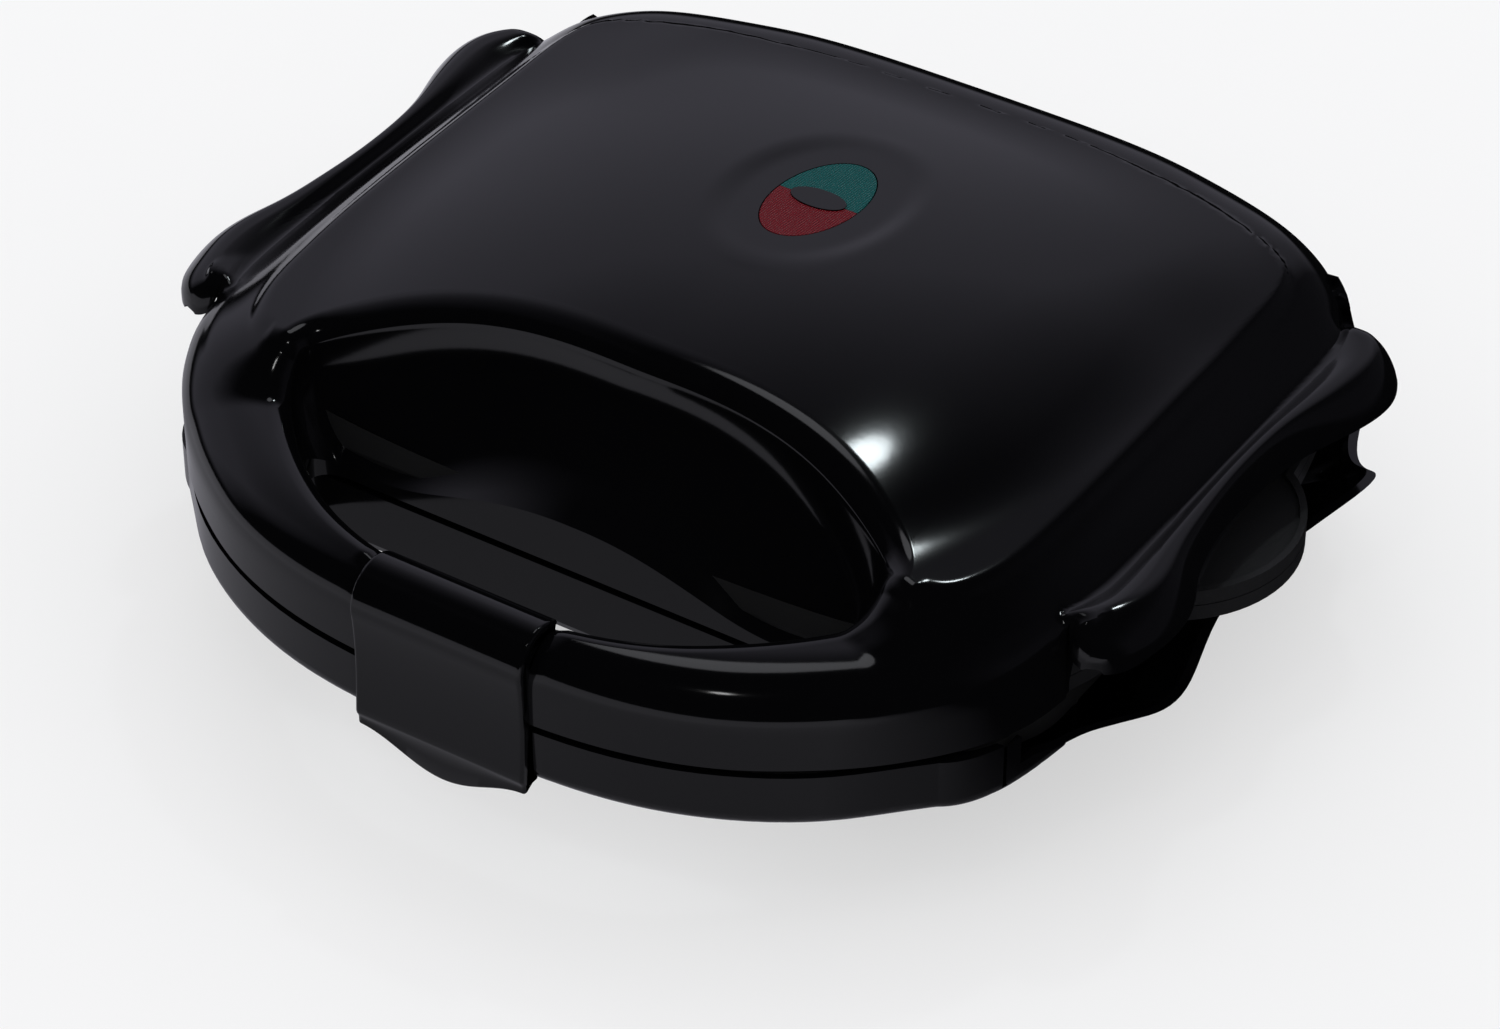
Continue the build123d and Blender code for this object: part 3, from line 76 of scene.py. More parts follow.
# Shader maths
class Sock:
    def __init__(self, tree, link):
        self.tree = tree
        self.link = link

    def math(self, operation, *values):
        node = self.tree.nodes.new("ShaderNodeMath")
        node.operation = operation
        for place, value in enumerate(values):
            plug(self.tree, value, node.inputs[place])
        return Sock(self.tree, node.outputs[0])

    def __add__(self, other):
        return self.math("ADD", self, other)

    def __radd__(self, other):
        return self.math("ADD", other, self)

    def __sub__(self, other):
        return self.math("SUBTRACT", self, other)

    def __rsub__(self, other):
        return self.math("SUBTRACT", other, self)

    def __mul__(self, other):
        return self.math("MULTIPLY", self, other)

    def __rmul__(self, other):
        return self.math("MULTIPLY", other, self)

    def sine(self):
        return self.math("SINE", self)

    def clamp(self):
        return self.math("MINIMUM", self.math("MAXIMUM", self, 0.0), 1.0)

    def ramp(self, start, slope):
        # 0 at start, rising to 1 above it, or below it where the slope is negative
        return ((self - start) * slope).clamp()


def plug(tree, value, socket):
    if isinstance(value, Sock):
        tree.links.new(value.link, socket)
    else:
        socket.default_value = value


class Wiring:
    # the nodes of one material or of the world
    def __init__(self, tree):
        self.tree = tree

    def node(self, kind, settings=None, out=0, **values):
        # values are named after the inputs, or i0, i1 and so on where two inputs share a name
        made = self.tree.nodes.new(kind)
        for setting, value in (settings or {}).items():
            setattr(made, setting, value)
        for name, value in values.items():
            counted = name[0] == "i" and name[1:].isdigit()
            plug(self.tree, value, made.inputs[int(name[1:]) if counted else name.replace("_", " ")])
        if isinstance(out, tuple):
            return [Sock(self.tree, made.outputs[place]) for place in out]
        return Sock(self.tree, made.outputs[out])

    def split(self, vector):
        return self.node("ShaderNodeSeparateXYZ", out=(0, 1, 2), Vector=vector)

    def show(self, shader, ending):
        plug(self.tree, shader, self.tree.nodes[ending].inputs["Surface"])


class Finish(Wiring):
    # one material with its main shader
    def __init__(self, name, **constants):
        self.material = bpy.data.materials.new(name)
        self.material.use_nodes = True
        super().__init__(self.material.node_tree)
        self.shader = self.tree.nodes["Principled BSDF"]
        self.feed(**constants)
        self.place = self.node("ShaderNodeTexCoord", out="Object")

    def noise(self, scale, detail=2.0):
        return self.node("ShaderNodeTexNoise", out="Fac", Vector=self.place, Scale=scale, Detail=detail)

    def blendColour(self, factor, first, second):
        return self.node("ShaderNodeMix", {"data_type": "RGBA"}, out=2, i0=factor,
                         i6=first + (1,), i7=second + (1,))

    def bump(self, height, strength, distance):
        return self.node("ShaderNodeBump", out="Normal", Strength=strength, Distance=distance, Height=height)

    def feed(self, **links):
        for socket, value in links.items():
            plug(self.tree, value, self.shader.inputs[socket.replace("_", " ")])
        return self.material


# Finishes
gloss = {
    "tones": ((0.0007, 0.0007, 0.0009), (0.0013, 0.0013, 0.0016)),
    "shine": 0.34,
    "roughness": 0.075,
    "unevenness": 0.03,                # what the clouds add to the roughness
    "dust": 0.05,                      # and what a speck of dust adds
    "peel": 0.00003,                   # m, depth of the fine waves in the surface
}


def makeGlossBlack(g):
    f = Finish("glossBlack", IOR=1.5, Specular_IOR_Level=g["shine"])
    dust = f.noise(900.0, 3.0)
    cloud = f.noise(14.0, 3.0)
    colour = f.blendColour(cloud, *g["tones"])
    rough = g["roughness"] + g["unevenness"] * cloud + g["dust"] * dust.ramp(0.62, 1.0)
    return f.feed(Base_Color=colour, Roughness=rough, Normal=f.bump(f.noise(420.0, 1.0), 0.10, g["peel"]))


matt = {
    "tones": ((0.004, 0.004, 0.0045), (0.008, 0.008, 0.0085)),
    "roughness": 0.42,
    "grain": 2600.0,
}


def makeFrameBlack(m):
    f = Finish("frameBlack")
    grain = f.noise(m["grain"])
    colour = f.blendColour(f.noise(30.0), *m["tones"])
    rough = m["roughness"] + 0.12 * grain
    return f.feed(Base_Color=colour, Roughness=rough, Normal=f.bump(grain, 0.3, 0.0001))


coating = {
    "tones": ((0.0085, 0.0085, 0.0095), (0.020, 0.020, 0.021)),   # coating and flecks
    "roughness": 0.24,
    "fleck": 1500.0,
    "flecks": (0.6, 4.0),              # the noise above this shows as flecks, and how sharply
}


def makeCoatedPlate(c):
    f = Finish("coatedPlate", Specular_IOR_Level=0.4)
    fleck = f.noise(c["fleck"])
    wide = f.noise(22.0, 3.0)
    colour = f.blendColour(fleck.ramp(*c["flecks"]), *c["tones"])
    rough = c["roughness"] + 0.12 * wide
    return f.feed(Base_Color=colour, Roughness=rough, Normal=f.bump(fleck, 0.25, 0.00008))


steels = {
    # tone, roughness
    "sheetSteel": (0.56, 0.24),
    "barSteel": (0.46, 0.2),
}


def makeSteel(name, tone, roughness):
    # fine drawn lines across the part's depth
    f = Finish(name, Metallic=1.0)
    f.place = f.node("ShaderNodeMapping", Vector=f.place, Scale=(60.0, 4.0, 60.0))
    lines = f.noise(30.0, 3.0)
    colour = f.blendColour(lines, (tone * 0.82, tone * 0.83, tone * 0.85), (tone, tone, tone * 1.01))
    return f.feed(Base_Color=colour, Roughness=roughness + 0.14 * lines, Normal=f.bump(lines, 0.15, 0.00006))


lens = {
    "pitch": 0.0013,                   # m, of the small prisms moulded in the lenses
    "relief": 0.0002,
    "green": ((0.001, 0.022, 0.023), (0.003, 0.085, 0.082)),
    "red": ((0.032, 0.001, 0.003), (0.15, 0.007, 0.011)),
}


def makeLens(name, tones):
    f = Finish(name, IOR=1.46, Specular_IOR_Level=0.12)
    x, y, _ = f.split(f.place)
    turn = 2 * math.pi / lens["pitch"]
    prism = (((x + y) * turn).sine() * ((x - y) * turn).sine() * 0.5 + 0.5).clamp()
    colour = f.blendColour(prism, *tones)
    rough = 0.16 + 0.08 * prism
    return f.feed(Base_Color=colour, Roughness=rough, Normal=f.bump(prism, 0.55, lens["relief"]))


plains = {
    # dark and light tone, roughness, scale of the grain, its depth in m
    "lampGlass": ((0.75, 0.7, 0.62), (0.86, 0.82, 0.76), 0.06, 120.0, 0.00002),
    "whitePlastic": ((0.70, 0.69, 0.65), (0.78, 0.77, 0.73), 0.42, 900.0, 0.00005),
    "wireCover": ((0.62, 0.61, 0.56), (0.78, 0.77, 0.72), 0.7, 2400.0, 0.0002),
    "glandRubber": ((0.012, 0.012, 0.012), (0.022, 0.022, 0.022), 0.6, 1800.0, 0.0001),
    "footRubber": ((0.018, 0.018, 0.018), (0.032, 0.032, 0.031), 0.7, 1500.0, 0.00012),
}


def makePlain(name, low, high, roughness, scale, relief, **constants):
    # a plain moulded surface with a fine grain
    f = Finish(name, **constants)
    grain = f.noise(scale, 3.0)
    colour = f.blendColour(grain, low, high)
    return f.feed(Base_Color=colour, Roughness=roughness + 0.1 * grain, Normal=f.bump(grain, 0.3, relief))


glossBlack = makeGlossBlack(gloss)
slotFinish = {
    "gloss_black": glossBlack,
    "frame_black": makeFrameBlack(matt),
    "coated_plate": makeCoatedPlate(coating),
    "sheet_steel": makeSteel("sheetSteel", *steels["sheetSteel"]),
    "steel": makeSteel("barSteel", *steels["barSteel"]),
    "green_lens": makeLens("greenLens", lens["green"]),
    "red_lens": makeLens("redLens", lens["red"]),
    "lamp_glass": makePlain("lampGlass", *plains["lampGlass"], Transmission_Weight=0.7),
    "white_plastic": makePlain("whitePlastic", *plains["whitePlastic"]),
    "wire_cover": makePlain("wireCover", *plains["wireCover"]),
    "gland_rubber": makePlain("glandRubber", *plains["glandRubber"]),
    "foot_rubber": makePlain("footRubber", *plains["footRubber"]),
}
for entry in frame["record"]["subparts"]:
    node = nodes[entry["node"]]
    if not node.material_slots:
        node.data.materials.append(None)
    for place in node.material_slots:
        place.material = slotFinish[entry["material_slot"]]
print("finishes on", len(nodes), "nodes")


# Curves and blends
def smoothStep(low, high, value):
    # 0 at low and 1 at high, with low above high for a falling step
    t = min(max((value - low) / (high - low), 0.0), 1.0)
    return t * t * (3 - 2 * t)


def softMax(a, b, k):
    h = max(k - abs(a - b), 0.0) / k
    return max(a, b) + h * h * k * 0.25


def softMin(a, b, k):
    return -softMax(-a, -b, k)


class Curve:
    # a cubic spline through rows of numbers, over given knots or its length in the first two columns
    def __init__(self, rows, knots=None):
        self.rows = rows
        self.knots = knots
        if knots is None:
            self.knots = [0.0]
            for a, b in zip(rows, rows[1:]):
                self.knots.append(self.knots[-1] + math.dist(a[:2], b[:2]))
        self.length = self.knots[-1] - self.knots[0]
        self.bends = [self.bend(column) for column in range(len(rows[0]))]

    def bend(self, column):
        k = self.knots
        v = [row[column] for row in self.rows]
        count = len(v)
        upper = [0.0] * count
        rest = [0.0] * count
        for i in range(1, count - 1):
            before = k[i] - k[i - 1]
            after = k[i + 1] - k[i]
            pull = 6 * ((v[i + 1] - v[i]) / after - (v[i] - v[i - 1]) / before)
            weight = 2 * (before + after) - before * upper[i - 1]
            upper[i] = after / weight
            rest[i] = (pull - before * rest[i - 1]) / weight
        out = [0.0] * count
        for i in range(count - 2, 0, -1):
            out[i] = rest[i] - upper[i] * out[i + 1]
        return out

    def at(self, knot):
        k = self.knots
        knot = min(max(knot, k[0]), k[-1])
        i = 0
        while i < len(k) - 2 and knot > k[i + 1]:
            i += 1
        step = k[i + 1] - k[i]
        b = (knot - k[i]) / step
        a = 1 - b
        one, two = self.rows[i], self.rows[i + 1]
        return [a * one[c] + b * two[c] + ((a ** 3 - a) * m[i] + (b ** 3 - b) * m[i + 1]) * step * step / 6
                for c, m in enumerate(self.bends)]


def wholeWay(half):
    # a half with x >= 0 whose ends are on the middle plane, as the whole symmetric run
    other = [(-row[0],) + tuple(row[1:]) for row in reversed(half)]
    return other + [tuple(row) for row in half[1:]]


class Rim:
    # a run of points in plan with values, for the distance of a place from it
    def __init__(self, rows):
        self.rows = rows
        self.tree = kdtree.KDTree(len(rows))
        for place, row in enumerate(rows):
            self.tree.insert((row[0], row[1], 0.0), place)
        self.tree.balance()

    def near(self, x, y):
        nearest = self.tree.find((x, y, 0.0))[1]
        best = None
        for first in (nearest - 1, nearest):
            if first < 0 or first + 1 >= len(self.rows):
                continue
            a, b = self.rows[first], self.rows[first + 1]
            ex, ey = b[0] - a[0], b[1] - a[1]
            size = ex * ex + ey * ey
            t = min(max(((x - a[0]) * ex + (y - a[1]) * ey) / size, 0.0), 1.0)
            px, py = a[0] + t * ex - x, a[1] + t * ey - y
            gap = math.hypot(px, py)
            if best is None or gap < best[0]:
                side = 1.0 if px * ey - py * ex > 0 else -1.0
                best = (gap, side, [a[c] + t * (b[c] - a[c]) for c in range(2, len(a))])
        return best[0] * best[1], best[2]


def sampled(rows, step):
    curve = Curve(rows)
    count = max(int(curve.length / step), 2)
    return [tuple(curve.at(curve.length * i / count)) for i in range(count + 1)]


# Lid shell, all in mm, x is the distance from the middle plane
lid = {
    "crown": 93.0,                     # top of the panel on the middle plane
    "crownBend": 802.0,
    "panelPower": 2.4,
    "shoulderSlope": 0.13,
    "rearShoulder": 81.2,              # highest level of the shoulder 100 mm behind the middle, and its fall
    "rearFall": 0.03,
    "shoulderSoft": 1.0,
    "panelSoft": 1.6,                  # how softly the panel runs into the shoulder
    "rampSlope": 0.9,                  # of the flanks and front corners of the dome
    "belowFoot": (4.0, 0.8),           # slope past the foot, of a round flank and of a ramp
    "pastRound": 6.0,                  # slope where a round flank would be upright
    "rimGroove": 0.7,                  # depth of the groove behind the rolled rim of the scoop
    "grooveFrom": 13.5,                # its distance from the rim, and how wide it is
    "grooveWide": 4.0,
    "grooveFade": (50, 78),            # how far out it fades
    "bowTop": 67.5,
    "seatDrop": 0.8,                   # the bow is this much lower under the latch
    "seatHalf": 24.0,
    "seatStep": 3.0,                   # width of the step beside it
    "skirtTop": 69.6,
    "skirtValley": 67.4,
    "skirtCrest": 0.46,                # share of the skirt's width where it is at its top
    "leastCrest": 1.5,
    "brimSoft": 1.2,
    "rearDrop": 14.0,                  # the brim falls away behind the skirts
    "rearDropOver": (84, 97),
    "edgeWall": 0.5,                   # short upright edge of the skirt, deeper at its nose
    "noseWall": 0.6,
    "noseOver": (-38, -48),            # from and to this y it deepens
    "seamLevel": 46.0,
    "rearLevel": 57.0,
    "rearRise": 3.5,                   # the rear edge is this much higher beside the skirts
    "rearRiseOver": (100, 92),
    "openingFront": -112.0,            # the finger opening ends behind this
    "wall": 2.2,
    "windowPlace": (35.0, 90.1),       # y and z of its middle
    "windowTilt": 5.0,
    "windowHalf": (11.3, 20.3),
    "dimpleHalf": (24.3, 37.0),
    "dimpleSlope": (0.74, 1.03),       # where its slope begins and ends, as shares of that
    "brimPower": 2.25,                 # of the superellipse that rounds the brim
    "slopePower": 2.3,                 # of the brim where it slopes down instead
    "pastEdge": (0.3, 4.0),            # how far outside its edge the brim turns down, and its slope there
}
# edge of the panel: y, x, z
creaseRows = [
    (-75, 72, 78.6), (-60.3, 79.3, 78.6), (-46.9, 85.4, 78.5), (-32.3, 90.2, 78.5), (-12, 93.9, 78.8),
    (10, 95.3, 79.0), (30, 95.2, 79.2), (50, 93.2, 79.5), (70, 89.3, 80.3), (88, 84.2, 80.6),
    (105, 78.5, 80.2), (126, 71, 79.6)]
crease = Curve(creaseRows, knots=[row[0] for row in creaseRows])
# foot of the dome: x, y, level, radius of the flank, how much of a ramp it is, how softly it meets the top
footHalf = [
    (0, 124.6, 60.5, 20, 0, 3), (20, 124.5, 60.5, 20, 0, 3), (40, 123.8, 60.5, 20, 0, 3),
    (56, 121.6, 60.8, 20, 0, 3), (70, 118.6, 61, 19.5, 0, 3), (83, 114.6, 61.5, 19, 0, 3),
    (95, 109.6, 62, 18, 0, 3), (106, 102.5, 63, 16, 0.1, 3), (113.6, 93, 64.5, 14, 0.3, 3.5),
    (117.6, 81, 65.5, 12.5, 0.6, 4.5), (119.2, 66, 65.5, 12, 0.8, 5), (119.6, 45, 65.5, 12, 0.85, 5),
    (119.6, 20, 65.5, 12, 0.85, 5), (119.4, -2, 65.5, 12, 0.85, 5), (118.8, -20, 65.5, 12, 0.85, 5),
    (117.8, -35, 65.6, 12, 0.85, 5.5), (116, -48, 65.8, 11.5, 0.85, 6), (112.4, -60, 66, 11, 0.85, 7),
    (107, -70, 66, 11, 0.9, 7), (99.5, -77, 66, 10.5, 0.95, 7), (91, -80, 66, 10, 0.95, 6),
    (83, -78.5, 66, 10, 0.9, 5), (74, -76.5, 66, 10, 0.9, 5), (52, -77, 66, 10, 0.9, 5),
    (25, -77, 66, 10, 0.9, 5), (0, -77, 66, 10, 0.9, 5)]
# outline of the bow from the middle to the side: x, y, run-in and drop of the rounding, how round it is
bowHalf = [
    (0, -122.4, 11, 11.5, 1), (20, -121.9, 11.4, 11.5, 1), (40, -119.8, 13.2, 11.5, 1),
    (56, -115.8, 15, 11.5, 1), (70, -110, 16, 11.5, 1), (83, -102, 16.5, 11.5, 1), (95, -92.5, 16, 11.3, 1),
    (105, -82, 14, 10.5, 1), (112.5, -71.5, 11, 9, 1), (117.3, -60.5, 7.5, 6.5, 1), (119.4, -48.2, 4, 5, 1)]
# outline of the skirt from the bow's end past both lobes, with the same values
skirtHalf = [
    (119.4, -48.2, 4, 5, 0.9), (121.3, -50.6, 7, 7, 0.9), (125, -51.6, 11, 8.5, 0.9),
    (129.6, -50, 13, 9, 0.8), (133.4, -46.2, 13, 8.8, 0.6), (136, -40.4, 11.5, 8.4, 0.3),
    (137.4, -31, 9.4, 8, 0.1), (136.2, -21.5, 8, 8, 0), (132.6, -11.5, 6, 8, 0), (129.5, 2, 4.2, 8, 0),
    (128, 17, 3.6, 8, 0), (128.2, 30, 3.8, 8, 0), (130.2, 42.5, 5, 8, 0), (134, 54, 7, 8, 0),
    (137.1, 64.5, 8.8, 8, 0), (137.6, 74, 8.8, 8, 0), (134.4, 82, 7.5, 8, 0.2),
    (128.4, 87.8, 6, 8, 0.5), (121.5, 91.2, 4, 8, 0.8), (116.5, 92.6, 3, 8, 1)]
rimStep = 0.5                          # between the points of a sampled rim
# middle of the rolled rim of the scoop: x, y
scoopHalf = [
    (0, -43.8), (24.1, -43.7), (37.6, -44.9), (50.1, -47.5), (61.7, -51.6), (72, -56.6), (77.2, -60)]


def makeRims():
    bow = [row for row in sampled(wholeWay(bowHalf)[len(bowHalf) - 3:], rimStep) if row[0] >= -1.0]
    skirt = sampled(skirtHalf, rimStep)
    rearRun = [skirtHalf[-1][:2]] + [row[:2] for row in reversed(footHalf) if row[1] > 97]
    rearRun.append((-20, 124.5))         # on past the middle
    rear = [(x, y, 3, 8, 1) for x, y in sampled(rearRun, rimStep)]
    # past the notch between them, the bow's edge runs on inside the skirt and the nose's inside the bow
    bowOn = [(119.5, y, 4, 5, 1) for y in (-45, -30, 0, 90)]
    noseOn = [(95, -43, 5, 7, 0.9), (110, -46.5, 5, 7, 0.9), (116, -49, 5, 7, 0.9)]
    onNose = [row for row in skirt if row[0] > 120.4 or row[1] > 0]
    return bow, skirt, rear, Rim(bow + bowOn), Rim(noseOn + onNose + rear[1:])


bowLine, skirtLine, rearLine, bowRim, skirtRim = makeRims()
footRim = Rim(sampled(list(reversed(wholeWay(footHalf))), rimStep))
scoopRim = Rim(sampled(wholeWay(scoopHalf), rimStep))


def rounding(inside, shape):
    # how far the brim has fallen at a distance inside its edge, and steeply past the edge
    runIn, drop, roundness = shape
    if inside >= runIn:
        return 0.0
    t = min(1 - inside / runIn, 1.0)
    power = lid["brimPower"]
    rounded = 1 - max(1 - t ** power, 0.0) ** (1 / power)
    fall = roundness * rounded + (1 - roundness) * t ** lid["slopePower"]
    outside, slope = lid["pastEdge"]
    return drop * fall + max(-inside - outside, 0.0) * slope


def lidTop(x, y):
    # level of the lid's outside over a place in plan
    x = abs(x)
    crown = lid["crown"] - y * y / lid["crownBend"]
    _, xc, zc = crease.at(y)
    panel = crown - (crown - zc) * (x / xc) ** lid["panelPower"]
    shoulder = zc + lid["shoulderSlope"] * (xc - x)
    shoulder = softMin(shoulder, lid["rearShoulder"] - lid["rearFall"] * (y - 100), lid["shoulderSoft"])
    top = softMax(panel, shoulder, lid["panelSoft"])
    # dimple round the window
    wy, wz = lid["windowPlace"]
    a, b = lid["dimpleHalf"]
    plane = wz - math.tan(math.radians(lid["windowTilt"])) * (y - wy)
    flatEnd, slopeEnd = lid["dimpleSlope"]
    top += (plane - top) * (1 - smoothStep(flatEnd, slopeEnd, math.hypot(x / a, (y - wy) / b)))
    if y < -10 and x < 80:
        fromRim = -scoopRim.near(x, y)[0]
        fade = 1 - smoothStep(*lid["grooveFade"], x)
        top -= fade * lid["rimGroove"] * math.exp(-((fromRim - lid["grooveFrom"]) / lid["grooveWide"]) ** 2)
    inside, (level, radius, ramp, soft) = footRim.near(x, y)
    if inside <= 0:
        steep, gentle = lid["belowFoot"]
        flank = level + (steep + (gentle - steep) * ramp) * inside
    elif inside < radius:
        flank = level + math.sqrt(radius ** 2 - (radius - inside) ** 2)
    else:
        flank = level + radius + (inside - radius) * lid["pastRound"]
    if inside > 0:
        flank += ramp * (level + lid["rampSlope"] * inside - flank)
    dome = softMin(top, flank, soft)
    # brim: the bow in front and the skirts at the sides
    outside = max(-inside, 0.0)
    fromEdge, shape = skirtRim.near(x, y)
    crest = max(lid["skirtCrest"] * (outside + max(fromEdge, 0.0)), lid["leastCrest"])
    side = lid["skirtValley"] + (lid["skirtTop"] - lid["skirtValley"]) * smoothStep(0, crest, outside)
    side -= rounding(fromEdge, shape)
    seatEnd = lid["seatHalf"] + lid["seatStep"]
    bow = lid["bowTop"] - lid["seatDrop"] * (1 - smoothStep(lid["seatHalf"], seatEnd, x))
    bow -= rounding(*bowRim.near(x, y))
    brim = softMax(bow, side, lid["brimSoft"])
    brim -= lid["rearDrop"] * smoothStep(*lid["rearDropOver"], y)
    return softMax(dome, brim, soft)


# inner edge of the bow and rim of the scoop, then the lip under it:
# station, x, y of the edge, run and drop of its rounding, x, y, z of the lip
gripRows = [
    (-0.30, -24.1, -43.7, 8.6, 5.6, -17.5, -71, 57.6),
    (0.0, 0.0, -43.8, 8.6, 5.6, 0.0, -71, 59.0),
    (0.30, 24.1, -43.7, 8.6, 5.6, 17.5, -71, 57.6),
    (0.475, 37.6, -44.9, 8.6, 5.6, 27.5, -71, 55.3),
    (0.64, 50.1, -47.5, 8.6, 5.6, 37.5, -71, 52.4),
    (0.79, 61.7, -51.6, 8.2, 5.6, 46.5, -71, 50.0),
    (0.925, 72.0, -56.6, 7.4, 5.4, 55.5, -71, 49.0),
    (1.0, 77.2, -60.0, 6.8, 5.2, 60.5, -71, 49.0),
    (1.35, 79.9, -63.0, 6.2, 5.0, 64.5, -71, 49.0),
    (1.7, 80.9, -66.2, 5.8, 4.8, 68.0, -71.4, 49.5),
    (2.0, 80.4, -69.6, 5.6, 4.6, 70.8, -73.0, 50.5),
    (2.051, 78.4, -73.4, 5.4, 4.5, 72.2, -75.8, 52.0),
    (2.106, 75.0, -77.6, 5.5, 4.5, 71.6, -79.2, 53.5),
    (2.227, 67.0, -85.8, 5.5, 4.5, 66.0, -86.0, 55.0),
    (2.368, 57.0, -94.0, 5.5, 4.5, 56.6, -93.9, 55.0),
    (2.51, 45.6, -101.0, 5.5, 4.5, 45.4, -100.9, 55.0),
    (2.654, 32.5, -106.0, 5.5, 4.6, 32.4, -105.9, 55.0),
    (2.81, 17.5, -108.7, 5.6, 5.2, 17.4, -108.6, 55.0),
    (3.0, 0.0, -109.5, 5.6, 5.4, 0.0, -109.4, 55.0),
    (3.19, -17.5, -108.7, 5.6, 5.2, -17.4, -108.6, 55.0),
]
# the edge is one smooth run, so its knots are lengths along it and the stations are looked up
edgeRun = Curve([row[1:3] for row in gripRows])
stationRun = [(row[0], knot) for row, knot in zip(gripRows, edgeRun.knots)]
gripEdge = Curve([row[1:] for row in gripRows], knots=edgeRun.knots)
# length along the outline from the end of the bow, and the station of the inner edge facing it
facing = [(0, 2.0), (16, 2.03), (30, 2.07), (40, 2.105), (55, 2.17), (71, 2.25), (85.5, 2.37), (96.4, 2.45),
          (109, 2.575), (118, 2.66), (135.5, 2.81), (156, 3.0)]


def lookUp(pairs, value):
    i = 0
    while i < len(pairs) - 2 and value > pairs[i + 1][0]:
        i += 1
    (a, first), (b, second) = pairs[i], pairs[i + 1]
    return first + (second - first) * (value - a) / (b - a)


def straightRun(points, shares):
    # stations along a run of parts, each part cut in its own number of steps
    out = [points[0]]
    for (low, high), count in zip(zip(points, points[1:]), shares):
        out += [low + (high - low) * (i + 1) / count for i in range(count)]
    return out


# the line across the lid where its two grids meet, from the middle to the end of the bow
joinEnd = bowHalf[-1][:2]
middleJoin = -34.5
scoopEnd = 82.0                        # how far out it runs behind the scoop


def joinLine(x):
    t = x / joinEnd[0]
    return middleJoin + (joinEnd[1] - middleJoin) * t ** 2.2


columnsOnJoin = straightRun([0, 27, scoopEnd, joinEnd[0]], [20, 22, 36])
noseRun = Curve([row[:2] for row in skirtHalf[:4]])
noseSteps = 22
domeFront = [(x, joinLine(x)) for x in columnsOnJoin]
domeFront += [tuple(noseRun.at(noseRun.length * (i + 1) / noseSteps)) for i in range(noseSteps)]


def lengthsOf(line):
    out = [0.0]
    for a, b in zip(line, line[1:]):
        out.append(out[-1] + math.dist(a[:2], b[:2]))
    return out


def walk(line, lengths, share):
    goal = lengths[-1] * share
    i = 0
    while i < len(lengths) - 2 and goal > lengths[i + 1]:
        i += 1
    t = (goal - lengths[i]) / (lengths[i + 1] - lengths[i])
    return (line[i][0] + t * (line[i + 1][0] - line[i][0]), line[i][1] + t * (line[i + 1][1] - line[i][1]))


domeGrid = {
    "parts": [0, 0.84, 1.0],           # shares of the way from the join line to the rear, and rows in each
    "rows": [92, 32],
    "rearCorner": (103.5, 104.6),      # where the side of the grid turns into its rear
}


def makeDomePatch(bm):
    # the panel, flanks, skirts and rear wall: a grid fitted between the join line, the sides and the rear
    rowShares = straightRun(domeGrid["parts"], domeGrid["rows"])
    corner = min(range(len(rearLine)), key=lambda i: math.dist(rearLine[i][:2], domeGrid["rearCorner"]))
    start = min(range(len(skirtLine)), key=lambda i: math.dist(skirtLine[i][:2], skirtHalf[3][:2]))
    sideEdge = [skirtHalf[3][:2]] + [row[:2] for row in skirtLine[start + 1:] + rearLine[1:corner + 1]]
    rearEdge = [row[:2] for row in rearLine[corner:] if row[0] > 0.01]
    rearEdge = [(0.0, footHalf[0][1])] + list(reversed(rearEdge))
    frontLengths = lengthsOf(domeFront)
    sideLengths = lengthsOf(sideEdge)
    rearLengths = lengthsOf(rearEdge)
    across = len(domeFront) - 1
    along = len(rowShares) - 1
    table = {}
    for j, t in enumerate(rowShares):
        side = walk(sideEdge, sideLengths, t)
        middle = (0.0, middleJoin + (footHalf[0][1] - middleJoin) * t)
        for i in range(across + 1):
            s = frontLengths[i] / frontLengths[-1]
            near = domeFront[i]
            far = walk(rearEdge, rearLengths, s)
            place = []
            for c in (0, 1):
                ruled = (1 - t) * near[c] + t * far[c] + (1 - s) * middle[c] + s * side[c]
                corners = (1 - t) * ((1 - s) * domeFront[0][c] + s * domeFront[-1][c])
                corners += t * ((1 - s) * rearEdge[0][c] + s * rearEdge[-1][c])
                place.append(ruled - corners)
            table[i, j] = (place[0], place[1], lidTop(place[0], place[1]))
    grid = bmesh.ops.create_grid(bm, x_segments=2 * across, y_segments=along, size=1.0)["verts"]
    for vert in grid:
        i = round(vert.co.x * across)
        j = round((vert.co.y + 1) / 2 * along)
        x, y, z = table[abs(i), j]
        vert.co = (math.copysign(x, i), y, z) if i else (0.0, y, z)


frontGrid = {
    # rows from the seam up the wall of the opening, up the scoop, over its bead and out over the top
    "wallRows": 4, "bowlRows": 15, "beadRows": 9, "topRows": 34,
    "bowSteps": 56,
    "bowlSlope": 0.32,                 # share of the scoop's height that rises evenly
    "bowlReach": 0.985,
    # stations along the inner edge
    "scoopFades": (1.6, 2.1),
    "bowBegins": (2.0, 2.25),
    "evenRows": 0.35,                  # share of the rows on the bow that lie evenly, not closer to its edge
}


